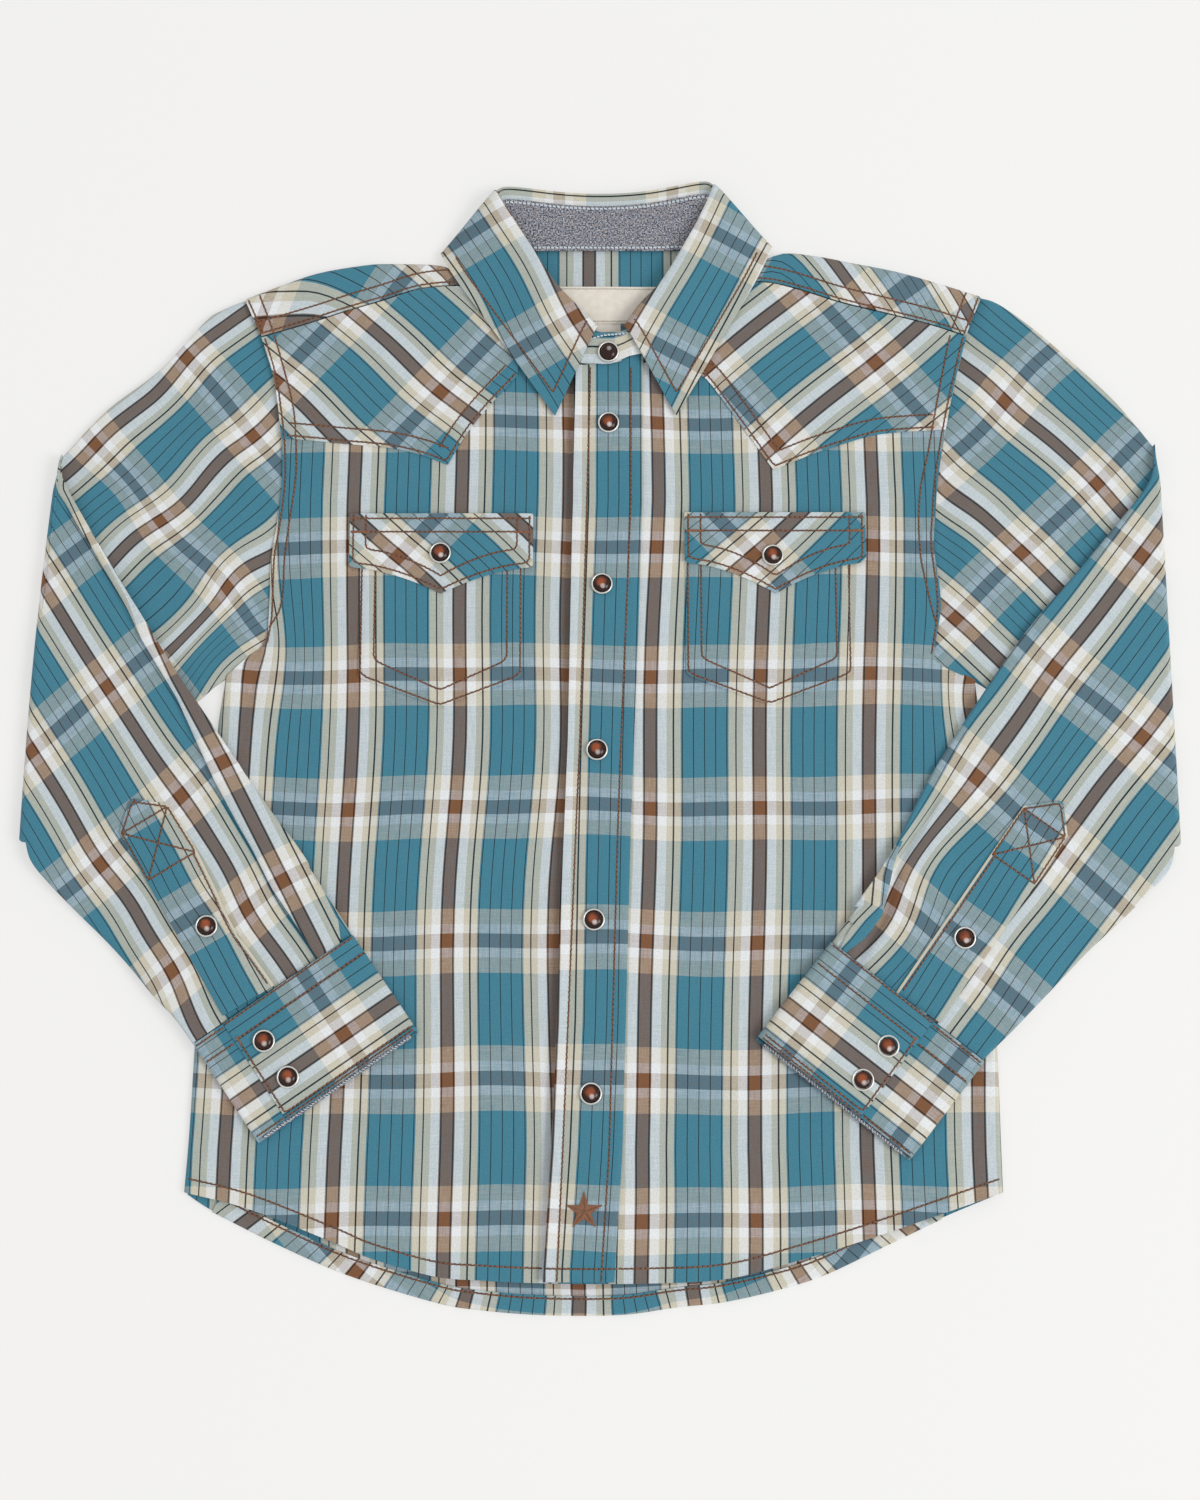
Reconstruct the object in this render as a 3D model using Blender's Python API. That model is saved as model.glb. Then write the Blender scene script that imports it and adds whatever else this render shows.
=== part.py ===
"""Child's western snap shirt, laid flat on its back with both sleeves folded over at the elbow.

The frame has its origin under the middle of the shirt. +X runs to the wearer's left, +Y to the
collar and +Z up. The tables and sizes are in millimetres, and the meshes are in metres.
The surface that the shirt lies on is at z = 0.
"""
import math

import bmesh
import bpy
from mathutils import Vector

MM = 0.001

# Cloth and layers
WALL = 1.0            # cloth, with its interlining and seams
GAP = 0.3             # between two layers, and between two pieces at a seam
LAYER = WALL + GAP
FRONT_LIFT = 2.3      # underside of the fronts above the surface
ROLL_FOOT = 0.15      # share of that height where the side seam's rolled edge ends
SLEEVE_DEPTH = 3.2    # both layers of a flattened sleeve
FOREARM_LIFT = 3.9    # underside of a forearm where it lies on the sleeve or the body
CUFF_DEPTH = 4.9      # the cuff's layers at its lap
YOKE_LIFT = 1.4       # back yoke above the surface where the collar lies under it

# The body's edges, from the hem up to the armpit: x, y
SIDE = {
    "right": [(-201.2, -229.3), (-199.8, -206), (-198.9, -183), (-198.2, -160), (-196.8, -130),
              (-195.2, -97), (-193.8, -64), (-192.4, -32), (-191.3, -2), (-189.6, 14)],
    "left": [(195.0, -229.3), (194.7, -206), (194.5, -183), (194.1, -160), (193.4, -130),
             (192.7, -97), (192.0, -64), (191.4, -32), (190.6, -2), (189.6, 12)],
}
# The armhole seam, from the shoulder fold down to the end of the armpit: x, y
ARMHOLE = {
    "right": [(-183.5, 224.0), (-178.8, 213.6), (-174.0, 202.5), (-167.7, 182.3), (-164.7, 165.0),
              (-162.7, 149.0), (-161.8, 127.4), (-163.8, 104.7), (-166.4, 85.3), (-166.8, 57.2),
              (-168.8, 42.2), (-177.0, 35.0), (-187.5, 25.0)],
    "left": [(197.0, 225.3), (192.4, 213.0), (188.3, 203.0), (183.7, 185.5), (180.2, 171.0),
             (176.5, 153.5), (172.0, 127.4), (170.2, 108.0), (169.3, 92.0), (171.8, 62.0),
             (168.0, 36.0), (175.0, 30.0), (187.8, 23.5)],
}
FRONT_SEAM_ROW = 2    # armhole row where the front yoke's top seam starts
YOKE_ROW = 5          # armhole row where both yokes' lower edges start

# Below and above these heights a panel's level rows are drawn towards its hem and its top
SHAPE_LOW = -97.0
SHAPE_HIGH = -32.0

# Lines across the body: x, y
FRONT_HEM = [(-201, -229.3), (-169, -237.3), (-127, -253.4), (-110, -260.5), (-80, -268.9),
             (-59, -270.8), (-27, -272.2), (23, -272.2), (60, -270.3), (94, -261.9),
             (133, -250.1), (195, -229.3)]
BACK_HEM = [(-201, -229.3), (-187, -238.2), (-155.7, -253.4), (-121.2, -268.0), (-79.7, -280.6),
            (-59, -284.2), (-28.3, -286.6), (9.6, -286.6), (37, -283.0), (59.5, -280.6),
            (85.1, -275.0), (107.8, -268.0), (136.4, -254.8), (164.7, -241.6), (195, -229.3)]
FRONT_TOP = [(-174.0, 202.5), (-150, 209.8), (-131, 216.3), (-111.7, 222.3), (-95, 228),
             (-77, 230), (-62, 228), (-52, 212), (-42, 203), (-20, 191), (-2, 186.6), (12, 186.6),
             (28, 191), (48, 204), (58, 214), (68, 230), (85, 232), (102, 228.3), (124, 221.2),
             (147.3, 215.2), (169.4, 209.3), (188.3, 203.0)]
SHOULDER = [(-183.5, 224.0), (-164.7, 231.5), (-145.7, 238.1), (-121, 242.4), (-107, 243.0),
            (-90, 242.5), (-80, 241.5), (-62, 240), (68, 243), (88, 246.5), (98, 248.8),
            (114.7, 246.8), (130.8, 243.5), (154.5, 238.6), (178.2, 231.5), (197.0, 225.3)]
BACK_YOKE_EDGE = [(-163, 149.0), (-120, 139), (-70, 131), (-30, 118), (4, 96), (38, 118),
                  (78, 131), (128, 141), (176.5, 153.5)]
YOKE_EDGE = {
    "right": [(-163, 149.0), (-146, 147.5), (-130, 145.9), (-108, 143.8), (-91.5, 140.1),
              (-77.6, 134.8), (-64, 157.1), (-42, 182.5)],
    "left": [(52, 182.0), (58, 176.0), (88.3, 132.1), (107.4, 140.1), (122.8, 145.4),
             (136.7, 149.7), (149.5, 151.8), (176.5, 153.5)],
}
YOKE_POINT = {"right": -77.6, "left": 88.3}
YOKE_INNER = {"right": -42, "left": 52}
NECK_BACK = 250.7     # the back yoke's neck edge
NECK_SIDE = {"right": -62, "left": 68}

# Placket, running down the left front: y, edge x, inner x
PLACKET = [(-271.6, -27.4, 0.8), (-184, -22.4, 5.0), (-67, -18.3, 8.5), (-7, -16.0, 10.3),
           (118, -13.8, 15.8), (186.3, -12.3, 16.2)]
UNDERLAP = 20.0       # how far the right front reaches under the placket

POCKETS = {
    "right": {"inner": -39.0, "outer": -121.3, "top": 106.0, "bottom": 24.2, "point": 8.9},
    "left": {"inner": 43.2, "outer": 126.7, "top": 106.0, "bottom": 25.3, "point": 9.9},
}
FLAPS = {
    "right": {"inner": -33.8, "outer": -126.7, "top": 108.7, "bottom": 80.6, "point": 67.1},
    "left": {"inner": 42.7, "outer": 134.4, "top": 109.3, "bottom": 83.0, "point": 67.1},
}

# Soft swells of the fronts: x, y, half width, half length, height
SWELLS = [(-85, -10, 50, 60, 0.9), (85, 0, 50, 60, 0.9), (10, -225, 60, 30, 0.8),
          (-72, 232, 24, 16, 0.5), (78, 234, 24, 16, 0.5)]

# Sleeve sections, from the armhole to the fold and on to the cuff:
# x and y at the upper edge, x and y at the lower edge, sideways bow of the section
UPPER_SLEEVE = {
    "right": [(-194.0, 218.5, -193.5, 19.5, 0), (-203.5, 212.0, -201.0, 12.6, 0),
              (-225.9, 186.0, -223.0, -6.0, 0), (-252.9, 163.0, -252.0, -31.0, 2),
              (-273.2, 144.0, -284.0, -58.8, 2)],
    "left": [(206.4, 221.0, 193.6, 18.8, 0), (224.0, 207.6, 206.0, 8.6, 0),
             (242.5, 190.4, 228.0, -11.0, 0), (263.9, 168.9, 258.0, -37.5, 0),
             (281.3, 149.5, 284.0, -61.0, 0)],
}
FOREARM = {
    "right": [(-271.0, 128.0, -280.6, -69.0, 2), (-255.0, 98.0, -271.0, -80.5, 0),
              (-234.0, 62.4, -256.0, -95.5, 0), (-213.0, 28.5, -242.5, -108.4, 0),
              (-190.5, -5.0, -230.5, -121.0, 0), (-167.6, -38.4, -218.0, -135.5, 0),
              (-145.0, -70.5, -208.0, -145.5, 0), (-123.3, -105.3, -199.1, -158.1, 0)],
    "left": [(278.5, 124.5, 281.0, -72.5, 0), (262.0, 101.5, 270.0, -85.0, 0),
             (239.5, 77.0, 255.0, -99.5, 0), (215.5, 49.5, 240.0, -113.0, 0),
             (190.5, 14.5, 226.5, -126.5, 0), (164.5, -25.5, 213.5, -139.5, 0),
             (142.5, -67.0, 201.5, -151.5, 0), (115.5, -107.6, 187.9, -164.8, 0)],
}
FOLD_STEPS = 5        # steps of the half turn at the elbow
REST_WIDTH = 55.0     # over which a forearm comes down beside what carries it

# Pleats and soft folds of the forearms: start x, y, end x, y, half width, height
PLEATS = {
    "right": [(-203, -5, -141, -92, 9, 0.9)],
    "left": [(152, -40, 134, -93, 9, 0.9), (196, -10, 163, -62, 12, 0.6)],
}

# Cuffs: seam corner at the lap, seam corner at the far side, depth, lap end from the first corner
CUFFS = {
    "right": {"lap": (-198.6, -158.5), "far": (-122.8, -105.6), "depth": 55.9, "lap_end": 19.5,
              "snap_rows": (18.5, 39.7)},
    "left": {"lap": (187.7, -165.3), "far": (115.3, -108.1), "depth": 58.6, "lap_end": 30.0,
             "snap_rows": (23.2, 43.8)},
}
LAP = 20.0            # width of a cuff's lap
SNAP_INSET = 10.0     # from the lap's end to its snaps
FACING_DEPTH = 24.0
FACING_SHOWS = 1.6    # how far the lower layer reaches past the upper one

# Sleeve plackets: middle of the strip from the cuff to the shoulder of its point, tip, half width
SLEEVE_PLACKET = {
    "right": {"cuff": (-173.6, -136.2), "shoulder": (-226.0, -48.5), "tip": (-232.0, -38.2),
              "half": 13.0, "snap": (-192.7, -101.2)},
    "left": {"cuff": (156.5, -138.9), "shoulder": (219.8, -49.5), "tip": (228.6, -39.2),
             "half": 13.0, "snap": (178.5, -106.9)},
}

# Neck sections, round the wearer's neck from the right front to the left front:
# seam x, y, z; fold x, y, z; how steeply the fall leaves the fold; fall edge x, y, z
NECK = [
    (-4, 187.6, 5.1, -1.5, 205.0, 6.9, 18, -23.0, 160.5, 4.9),
    (-22, 192.0, 5.3, -13, 217.0, 7.6, 13, -33.5, 175.5, 5.6),
    (-42, 204.0, 5.4, -25, 230.0, 8.6, 13, -45.0, 192.0, 5.9),
    (-56, 222.0, 5.3, -40, 254.0, 9.2, 11, -62.5, 216.5, 6.2),
    (-60, 233.0, 4.9, -47, 266.0, 9.0, 12, -74.5, 233.5, 6.6),
    (-59, 243.0, 4.3, -53.5, 277.3, 8.5, 10, -81.8, 247.0, 3.4),
    (-54, 248.5, 3.6, -53, 279.6, 6.8, -3, -80.0, 247.5, 0.9),
    (-45, 251.3, 3.0, -46, 281.8, 6.1, -12, -70.0, 239.0, 0.6),
    (-18, 251.8, 2.7, -18, 279.0, 5.3, -14, -22.0, 236.0, 0.6),
    (4, 251.8, 2.7, 4, 278.3, 5.2, -14, 4.0, 235.5, 0.6),
    (26, 251.8, 2.7, 26, 280.0, 5.3, -14, 30.0, 236.0, 0.6),
    (52, 252.3, 3.0, 52, 284.6, 6.1, -12, 76.0, 241.0, 0.6),
    (60, 249.5, 3.6, 58.3, 282.6, 6.8, -2, 86.5, 251.0, 0.9),
    (65, 244.0, 4.3, 58.8, 280.4, 8.5, 11, 88.6, 250.5, 3.4),
    (66, 234.0, 4.9, 54, 268.0, 9.0, 12, 81.5, 234.5, 6.6),
    (62, 222.0, 5.3, 47, 254.0, 9.2, 11, 71.5, 216.5, 6.2),
    (48, 204.5, 5.4, 33, 230.0, 8.6, 13, 57.5, 192.0, 5.9),
    (30, 192.5, 6.0, 21, 217.0, 8.0, 13, 48.0, 175.5, 5.9),
    (12, 187.6, 6.9, 12.5, 205.0, 8.0, 16, 39.0, 160.5, 5.6),
]
STAND_UNDER = (11, 187.6, 4.9, 11, 204.6, 6.2)    # the stand's right end, under the left one
STAND_OVER = (-10, 188.0, 6.9, -6, 203.5, 8.0)    # the stand's left end, on top
FOLD_GAP = 1.6
LINING_ROWS = (6, 12)
LINING_INSET = 5.0    # lining's upper edge below the fold

LABEL = {"left": -27.0, "right": 35.0, "bottom": 208.0, "top": 231.5}

# Snaps: a ring with a domed cap in it
RING_OUTER = 5.5
RING_INNER = 4.45
RING_HEIGHT = 1.5
CAP_RADIUS = 4.1
CAP_HEIGHT = 2.3
SNAP_SIDES = 12
FRONT_SNAPS = [(4.4, 156.3), (1.0, 71.8), (-1.5, -13.0), (-3.0, -97.7), (-4.4, -182.3)]
STAND_SNAP = (4.1, 195.6)
FLAP_SNAPS = {"right": (-80.6, 87.8), "left": (87.2, 86.6)}

# Colour, roughness and metallic value of each stuff
CLOTH = ((0.10, 0.26, 0.34, 1.0), 0.85, 0.0)
BIAS = ((0.20, 0.30, 0.33, 1.0), 0.85, 0.0)
CHAMBRAY = ((0.16, 0.19, 0.25, 1.0), 0.9, 0.0)
WOVEN_LABEL = ((0.72, 0.68, 0.60, 1.0), 0.7, 0.0)
STEEL = ((0.75, 0.75, 0.74, 1.0), 0.25, 1.0)
PEARL = ((0.20, 0.04, 0.02, 1.0), 0.2, 0.0)


def lerp(start, end, amount):
    return start + (end - start) * amount


def ease(amount):
    amount = min(max(amount, 0.0), 1.0)
    return amount * amount * (3 - 2 * amount)


def read(table, key):
    """The y, or the remaining columns, of a table at a value of its first column."""
    last = len(table) - 2
    row = 0
    while row < last and key > table[row + 1][0]:
        row += 1
    start, end = table[row], table[row + 1]
    amount = min(max((key - start[0]) / (end[0] - start[0]), 0.0), 1.0)
    values = [lerp(a, b, amount) for a, b in zip(start[1:], end[1:])]
    return values[0] if len(values) == 1 else values


def smooth(table, steps):
    """The rows of a table with further rows between them, on a smooth curve through them."""
    rows = [table[0]] + list(table) + [table[-1]]
    result = []
    for index in range(len(table) - 1):
        before, start, end, after = rows[index:index + 4]
        for step in range(steps):
            t = step / steps
            result.append(tuple(
                0.5 * (2 * b + (c - a) * t + (2 * a - 5 * b + 4 * c - d) * t * t
                       + (3 * b - a - 3 * c + d) * t ** 3)
                for a, b, c, d in zip(before, start, end, after)))
    result.append(tuple(table[-1]))
    return result


def front_lift(x, y):
    """Height of the fronts' underside."""
    height = FRONT_LIFT
    for middle_x, middle_y, half_x, half_y, swell in SWELLS:
        away = ((x - middle_x) / half_x) ** 2 + ((y - middle_y) / half_y) ** 2
        height += swell * math.exp(-away)
    return height


def front_lap(x, y):
    """How far the left front is raised where it laps over the right one."""
    inner = read(PLACKET, y)[1]
    return LAYER * (1 - ease((x - inner - 6) / 22))


def yoke_lift(x, y):
    """Height of the back yoke's underside, over the collar that lies under it."""
    inside = ease((x + 100) / 12) * ease((106 - x) / 12)
    return YOKE_LIFT * inside * ease((y - 206) / 22)


def forearm_lift(side, x, y):
    """Height of a forearm's underside over the folded sleeve, the body and the surface."""
    near, far = UPPER_SLEEVE[side][0], UPPER_SLEEVE[side][-1]
    along = Vector((far[2] - near[2], far[3] - near[3])).normalized()
    across = (x - near[2]) * along.y - (y - near[3]) * along.x
    on_sleeve = across if side == "right" else -across
    side_x = read([(row[1], row[0]) for row in SIDE[side]], y)
    on_body = (x - side_x) if side == "right" else (side_x - x)
    off_sleeve = 1 - ease((on_sleeve + REST_WIDTH + 5) / REST_WIDTH)
    off_body = 1 - ease((on_body + REST_WIDTH + 5) / REST_WIDTH)
    return FOREARM_LIFT * (1 - off_sleeve * off_body)


def pleat_height(side, x, y):
    height = 0.0
    for start_x, start_y, end_x, end_y, half, rise in PLEATS[side]:
        run = Vector((end_x - start_x, end_y - start_y))
        place = Vector((x - start_x, y - start_y))
        along = place.dot(run) / run.length_squared
        away = (place - run * min(max(along, 0.0), 1.0)).length
        height += rise * ease(1 - away / half) * ease(along * 3 + 0.4) if along < 1.2 else 0.0
    return height


def forearm_top(side, x, y):
    return forearm_lift(side, x, y) + SLEEVE_DEPTH + pleat_height(side, x, y)


def finish(name, mesh, stuff, wall=0.0, centred=False):
    """Turn a mesh into an object with a material of its own and, if wanted, a wall."""
    bmesh.ops.remove_doubles(mesh, verts=mesh.verts, dist=1e-6)
    if not wall:
        bmesh.ops.recalc_face_normals(mesh, faces=mesh.faces)
    data = bpy.data.meshes.new(name)
    mesh.to_mesh(data)
    mesh.free()
    data.shade_smooth()
    data.set_sharp_from_angle(angle=math.radians(50))
    thing = bpy.data.objects.new(name, data)
    bpy.context.scene.collection.objects.link(thing)
    colour, roughness, metallic = stuff
    material = bpy.data.materials.new(name)
    material.use_nodes = True
    shader = material.node_tree.nodes["Principled BSDF"]
    shader.inputs["Base Color"].default_value = colour
    shader.inputs["Roughness"].default_value = roughness
    shader.inputs["Metallic"].default_value = metallic
    data.materials.append(material)
    if wall:
        skin = thing.modifiers.new("Wall", "SOLIDIFY")
        skin.thickness = wall * MM
        skin.offset = 0.0 if centred else -1.0
        skin.use_even_offset = not centred
        skin.use_rim = True
    return thing


def grid(rows, turn=None, skip=None):
    """A mesh through rows of points in millimetres, facing up unless told whether to turn it."""
    mesh = bmesh.new()
    across, along = len(rows[0]), len(rows)
    made = bmesh.ops.create_grid(mesh, x_segments=across - 1, y_segments=along - 1, size=1)
    for index, vert in enumerate(made["verts"]):
        vert.co = Vector(rows[index // across][index % across]) * MM
    if skip:
        mesh.verts.index_update()
        doomed = []
        for face in mesh.faces:
            corners = [vert.index for vert in face.verts]
            row = min(corners) // across
            column = min(corner % across for corner in corners)
            if skip(row, column):
                doomed.append(face)
        bmesh.ops.delete(mesh, geom=doomed, context="FACES")
    mesh.normal_update()
    if turn is None:
        turn = sum(face.normal.z for face in mesh.faces) < 0
    if turn:
        bmesh.ops.reverse_faces(mesh, faces=mesh.faces)
    return mesh


def body_rows(side, top_row):
    """Edge points of a body panel from the hem up to a row of the armhole, and which roll over."""
    armhole = list(reversed(ARMHOLE[side][top_row:]))
    return [(x, y, 1.0) for x, y in SIDE[side]] + [(x, y, 0.0) for x, y in armhole]


def shaped(y, hem_drop, top_rise, bottom_y, top_y):
    """Move a level row's point towards the curved hem below and the curved top above."""
    low = max((SHAPE_LOW - y) / (SHAPE_LOW - bottom_y), 0.0) ** 1.5
    high = max((y - SHAPE_HIGH) / (top_y - SHAPE_HIGH), 0.0)
    return y + hem_drop * low + top_rise * high


def make_front(side):
    """One front: rolled over at the side seam, open at the armhole, hem and neck."""
    rows = []
    edges = body_rows(side, FRONT_SEAM_ROW)
    out = -1 if side == "right" else 1
    top_y = ARMHOLE[side][FRONT_SEAM_ROW][1]
    for edge_x, edge_y, roll in edges:
        centre = read(PLACKET, edge_y)[0] + (UNDERLAP if side == "right" else 0.8)
        row = []
        for column in range(15):
            if column < 4:
                angle = math.radians(30 * column)
                inward = (FRONT_LIFT + WALL) * (1 - math.cos(angle))
                rise = lerp(1.0, max(math.sin(angle), ROLL_FOOT), roll)
                x = edge_x - out * inward
            else:
                share = (column - 3) / 11
                rise = 1.0
                x = lerp(edge_x - out * (FRONT_LIFT + WALL), centre, share)
            hem_drop = read(FRONT_HEM, x) - read(FRONT_HEM, edge_x)
            top_rise = read(FRONT_TOP, x) - read(FRONT_TOP, edge_x)
            y = shaped(edge_y, hem_drop, top_rise, edges[0][1], top_y)
            z = front_lift(x, y) + WALL
            if side == "left":
                z += front_lap(x, y)
            row.append((x, y, z * rise))
        rows.append(row)
    finish("front_" + side, grid(rows), CLOTH, WALL)


def back_columns():
    """Columns shared by the back and its yoke: a zone, and the share from armhole to neck."""
    columns = [("right", step / 6) for step in range(6)]
    columns += [("neck", step / 4) for step in range(5)]
    columns += [("left", 1 - step / 6) for step in range(1, 7)]
    return columns


def column_x(zone, share, right_x, left_x):
    if zone == "neck":
        return lerp(NECK_SIDE["right"], NECK_SIDE["left"], share)
    return lerp(right_x if zone == "right" else left_x, NECK_SIDE[zone], share)


def make_back():
    """The back panel, flat on the surface, up to the back yoke's pointed seam."""
    right = body_rows("right", YOKE_ROW)
    left = body_rows("left", YOKE_ROW)
    rows = []
    for (right_x, right_y, roll), (left_x, left_y, _) in zip(right, left):
        row = []
        for zone, share in back_columns():
            x = column_x(zone, share, right_x + 1.8 * roll, left_x - 1.8 * roll)
            level = (x - right_x) / (left_x - right_x)
            y = lerp(right_y, left_y, level)
            hem_drop = read(BACK_HEM, x) - lerp(read(BACK_HEM, right_x), read(BACK_HEM, left_x), level)
            top_rise = read(BACK_YOKE_EDGE, x) - lerp(right[-1][1], left[-1][1], level)
            top_y = lerp(right[-1][1], left[-1][1], level)
            row.append((x, shaped(y, hem_drop, top_rise, right[0][1], top_y), WALL))
        rows.append(row)
    finish("back", grid(rows), CLOTH, WALL)


def make_back_yoke():
    """The yoke: flat under the back, turned over both shoulders to the front-yoke seams."""
    turn_steps = 5
    rows = [[] for _ in range(YOKE_ROW + 1 + turn_steps + 2)]
    for zone, share in back_columns():
        side = "left" if zone == "left" else "right"
        hole = ARMHOLE[side]
        in_neck = zone == "neck" and 0 < share < 1
        fold_x = column_x(zone, share, ARMHOLE["right"][0][0], ARMHOLE["left"][0][0])
        fold_y = NECK_BACK if in_neck else read(SHOULDER, fold_x)
        top = front_lift(fold_x, fold_y) + LAYER + WALL
        low = yoke_lift(fold_x, fold_y)
        radius = 0 if in_neck else (top - low) / 2
        reach = fold_y - radius
        side_reach = hole[0][1] - radius
        turn_hole = read([(y, x) for x, y in reversed(hole[:2])], side_reach)
        holes = [(x, y) for x, y in reversed(hole[1:YOKE_ROW + 1])] + [(turn_hole, side_reach)]
        start_x = column_x(zone, share, hole[YOKE_ROW][0], hole[YOKE_ROW][0])
        for row, (hole_x, hole_y) in enumerate(holes):
            x = column_x(zone, share, hole_x, hole_x)
            amount = (hole_y - holes[0][1]) / (side_reach - holes[0][1])
            y = lerp(read(BACK_YOKE_EDGE, start_x) + 2 * GAP, reach, amount)
            rows[row].append((x, y, yoke_lift(x, y)))
        turn_x = column_x(zone, share, turn_hole, turn_hole)
        for step in range(1, turn_steps + 1):
            angle = math.pi * step / turn_steps
            rows[YOKE_ROW + step].append(
                (turn_x, reach + radius * math.sin(angle), low + radius * (1 - math.cos(angle))))
        for step, hole_row in ((1, 1), (2, FRONT_SEAM_ROW)):
            x = column_x(zone, share, hole[hole_row][0], hole[hole_row][0])
            seam = read(FRONT_TOP, x) + 3 * GAP
            y = seam if step == 2 else lerp(reach, seam, 0.45)
            rows[YOKE_ROW + turn_steps + step].append((x, y, front_lift(x, y) + LAYER + WALL))

    def over_neck(row, column):
        return row >= YOKE_ROW and back_columns()[column][0] == "neck"

    finish("back_yoke", grid(rows, turn=True, skip=over_neck), CLOTH, WALL)


def make_front_yoke(side):
    """A scalloped western yoke on the front, from the armhole in under the collar."""
    hole = ARMHOLE[side][FRONT_SEAM_ROW:YOKE_ROW + 1]
    point, inner = YOKE_POINT[side], YOKE_INNER[side]
    rows = []
    for index in range(len(hole)):
        hole_x, hole_y = hole[-1 - index]
        amount = (hole_y - hole[-1][1]) / (hole[0][1] - hole[-1][1])
        row = []
        for column in range(13):
            if column <= 8:
                x = lerp(hole_x, point, column / 8)
            else:
                x = lerp(point, inner, (column - 8) / 4)
            bottom = read(YOKE_EDGE[side], x)
            y = lerp(bottom, read(FRONT_TOP, x), amount)
            z = front_lift(x, y) + LAYER + WALL
            if side == "left":
                z += front_lap(x, y)
            row.append((x, y, z))
        rows.append(row)
    finish("yoke_" + side, grid(rows), BIAS, WALL)


def make_placket():
    rows = []
    for step in range(19):
        y = lerp(PLACKET[0][0], PLACKET[-1][0], step / 18)
        edge, inner = read(PLACKET, y)
        row = []
        for column in range(4):
            x = lerp(edge, inner, column / 3)
            row.append((x, y, front_lift(x, y) + 2 * LAYER + WALL))
        rows.append(row)
    finish("placket", grid(rows), CLOTH, WALL)


def make_patch(name, side, size, layers, stuff, pointed_rows):
    """A pocket or flap: straight top and sides, and a point at the middle of its lower edge."""
    middle = (size["inner"] + size["outer"]) / 2
    low_x, high_x = sorted((size["inner"], size["outer"]))
    rows = []
    for step in range(pointed_rows + 1):
        amount = step / pointed_rows
        row = []
        for column in range(9):
            x = lerp(low_x, high_x, column / 8)
            slope = abs(x - middle) / (abs(high_x - low_x) / 2)
            bottom = lerp(size["point"], size["bottom"], slope)
            y = lerp(bottom, size["top"], amount)
            z = front_lift(x, y) + layers * LAYER + WALL
            if side == "left":
                z += front_lap(x, y)
            row.append((x, y, z))
        rows.append(row)
    finish(name + "_" + side, grid(rows), stuff, WALL)


def ring(depth, inset, length):
    """Loop round a flattened tube as (distance across, height), at an inset from its outside."""
    radius = depth / 2
    stations = [0.0] + [share for share in ACROSS if 0 < share < 1] + [1.0]
    straight = [radius + share * (length - depth) for share in stations]
    loop = [(a, inset) for a in straight]
    for step in range(1, 4):
        angle = math.pi * step / 4
        loop.append((length - radius + (radius - inset) * math.sin(angle),
                     radius - (radius - inset) * math.cos(angle)))
    loop += [(a, depth - inset) for a in reversed(straight)]
    for step in range(1, 4):
        angle = math.pi * step / 4
        loop.append((radius - (radius - inset) * math.sin(angle),
                     radius + (radius - inset) * math.cos(angle)))
    loop.append(loop[0])
    return loop


def armhole_shares(side):
    """How far along the armhole each of its rows lies, from 0 at the shoulder to 1."""
    points = [Vector(point) for point in ARMHOLE[side]]
    lengths = [0.0]
    for start, end in zip(points, points[1:]):
        lengths.append(lengths[-1] + (end - start).length)
    return [length / lengths[-1] for length in lengths]


ACROSS = armhole_shares("right")


def armhole_path(side, share):
    """A point on the sleeve's side of the armhole seam."""
    table = [(ACROSS[row], x, y) for row, (x, y) in enumerate(ARMHOLE[side])]
    x, y = read(table, share)
    ahead_x, ahead_y = read(table, share + 0.02)
    behind_x, behind_y = read(table, share - 0.02)
    run = Vector((ahead_x - behind_x, ahead_y - behind_y)).normalized()
    out = Vector((run.y, -run.x)) if side == "right" else Vector((-run.y, run.x))
    return x + out.x * 2 * GAP, y + out.y * 2 * GAP


def section_point(section, share, side):
    """A point across a sleeve section, with its bow."""
    upper_x, upper_y, lower_x, lower_y, bow = section
    out = -1 if side == "right" else 1
    x = lerp(upper_x, lower_x, share) + out * bow * math.sin(math.pi * share)
    return x, lerp(upper_y, lower_y, share)


def sleeve_sections(side):
    """Functions from (distance across, height, length) to a place, and lengths, along a sleeve."""
    stations = []

    def armhole_station(across, height, length):
        x, y = armhole_path(side, across / length)
        return x, y, height

    hole = [Vector(point) for point in ARMHOLE[side]]
    length = sum((end - start).length for start, end in zip(hole, hole[1:]))
    stations.append((length, armhole_station))

    def reach(section):
        return math.hypot(section[2] - section[0], section[3] - section[1])

    for section in UPPER_SLEEVE[side]:
        def upper_station(across, height, length, section=section):
            x, y = section_point(section, across / length, side)
            return x, y, height
        stations.append((reach(section), upper_station))

    crease = UPPER_SLEEVE[side][-1]
    out = -1 if side == "right" else 1
    clear = (FOREARM_LIFT - SLEEVE_DEPTH) / 2
    for step in range(1, FOLD_STEPS + 1):
        angle = math.pi * step / FOLD_STEPS

        def fold_station(across, height, length, angle=angle):
            x, y = section_point(crease, across / length, side)
            radius = SLEEVE_DEPTH - height + clear
            x += out * radius * math.sin(angle)
            return x, y, SLEEVE_DEPTH + clear - radius * math.cos(angle)
        stations.append((reach(crease), fold_station))

    for section in FOREARM[side]:
        def forearm_station(across, height, length, section=section):
            x, y = section_point(section, across / length, side)
            top = pleat_height(side, x, y) * max(1 - height / (SLEEVE_DEPTH / 2), 0.0)
            return x, y, forearm_lift(side, x, y) + SLEEVE_DEPTH - height + top
        stations.append((reach(section), forearm_station))
    return stations


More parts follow.
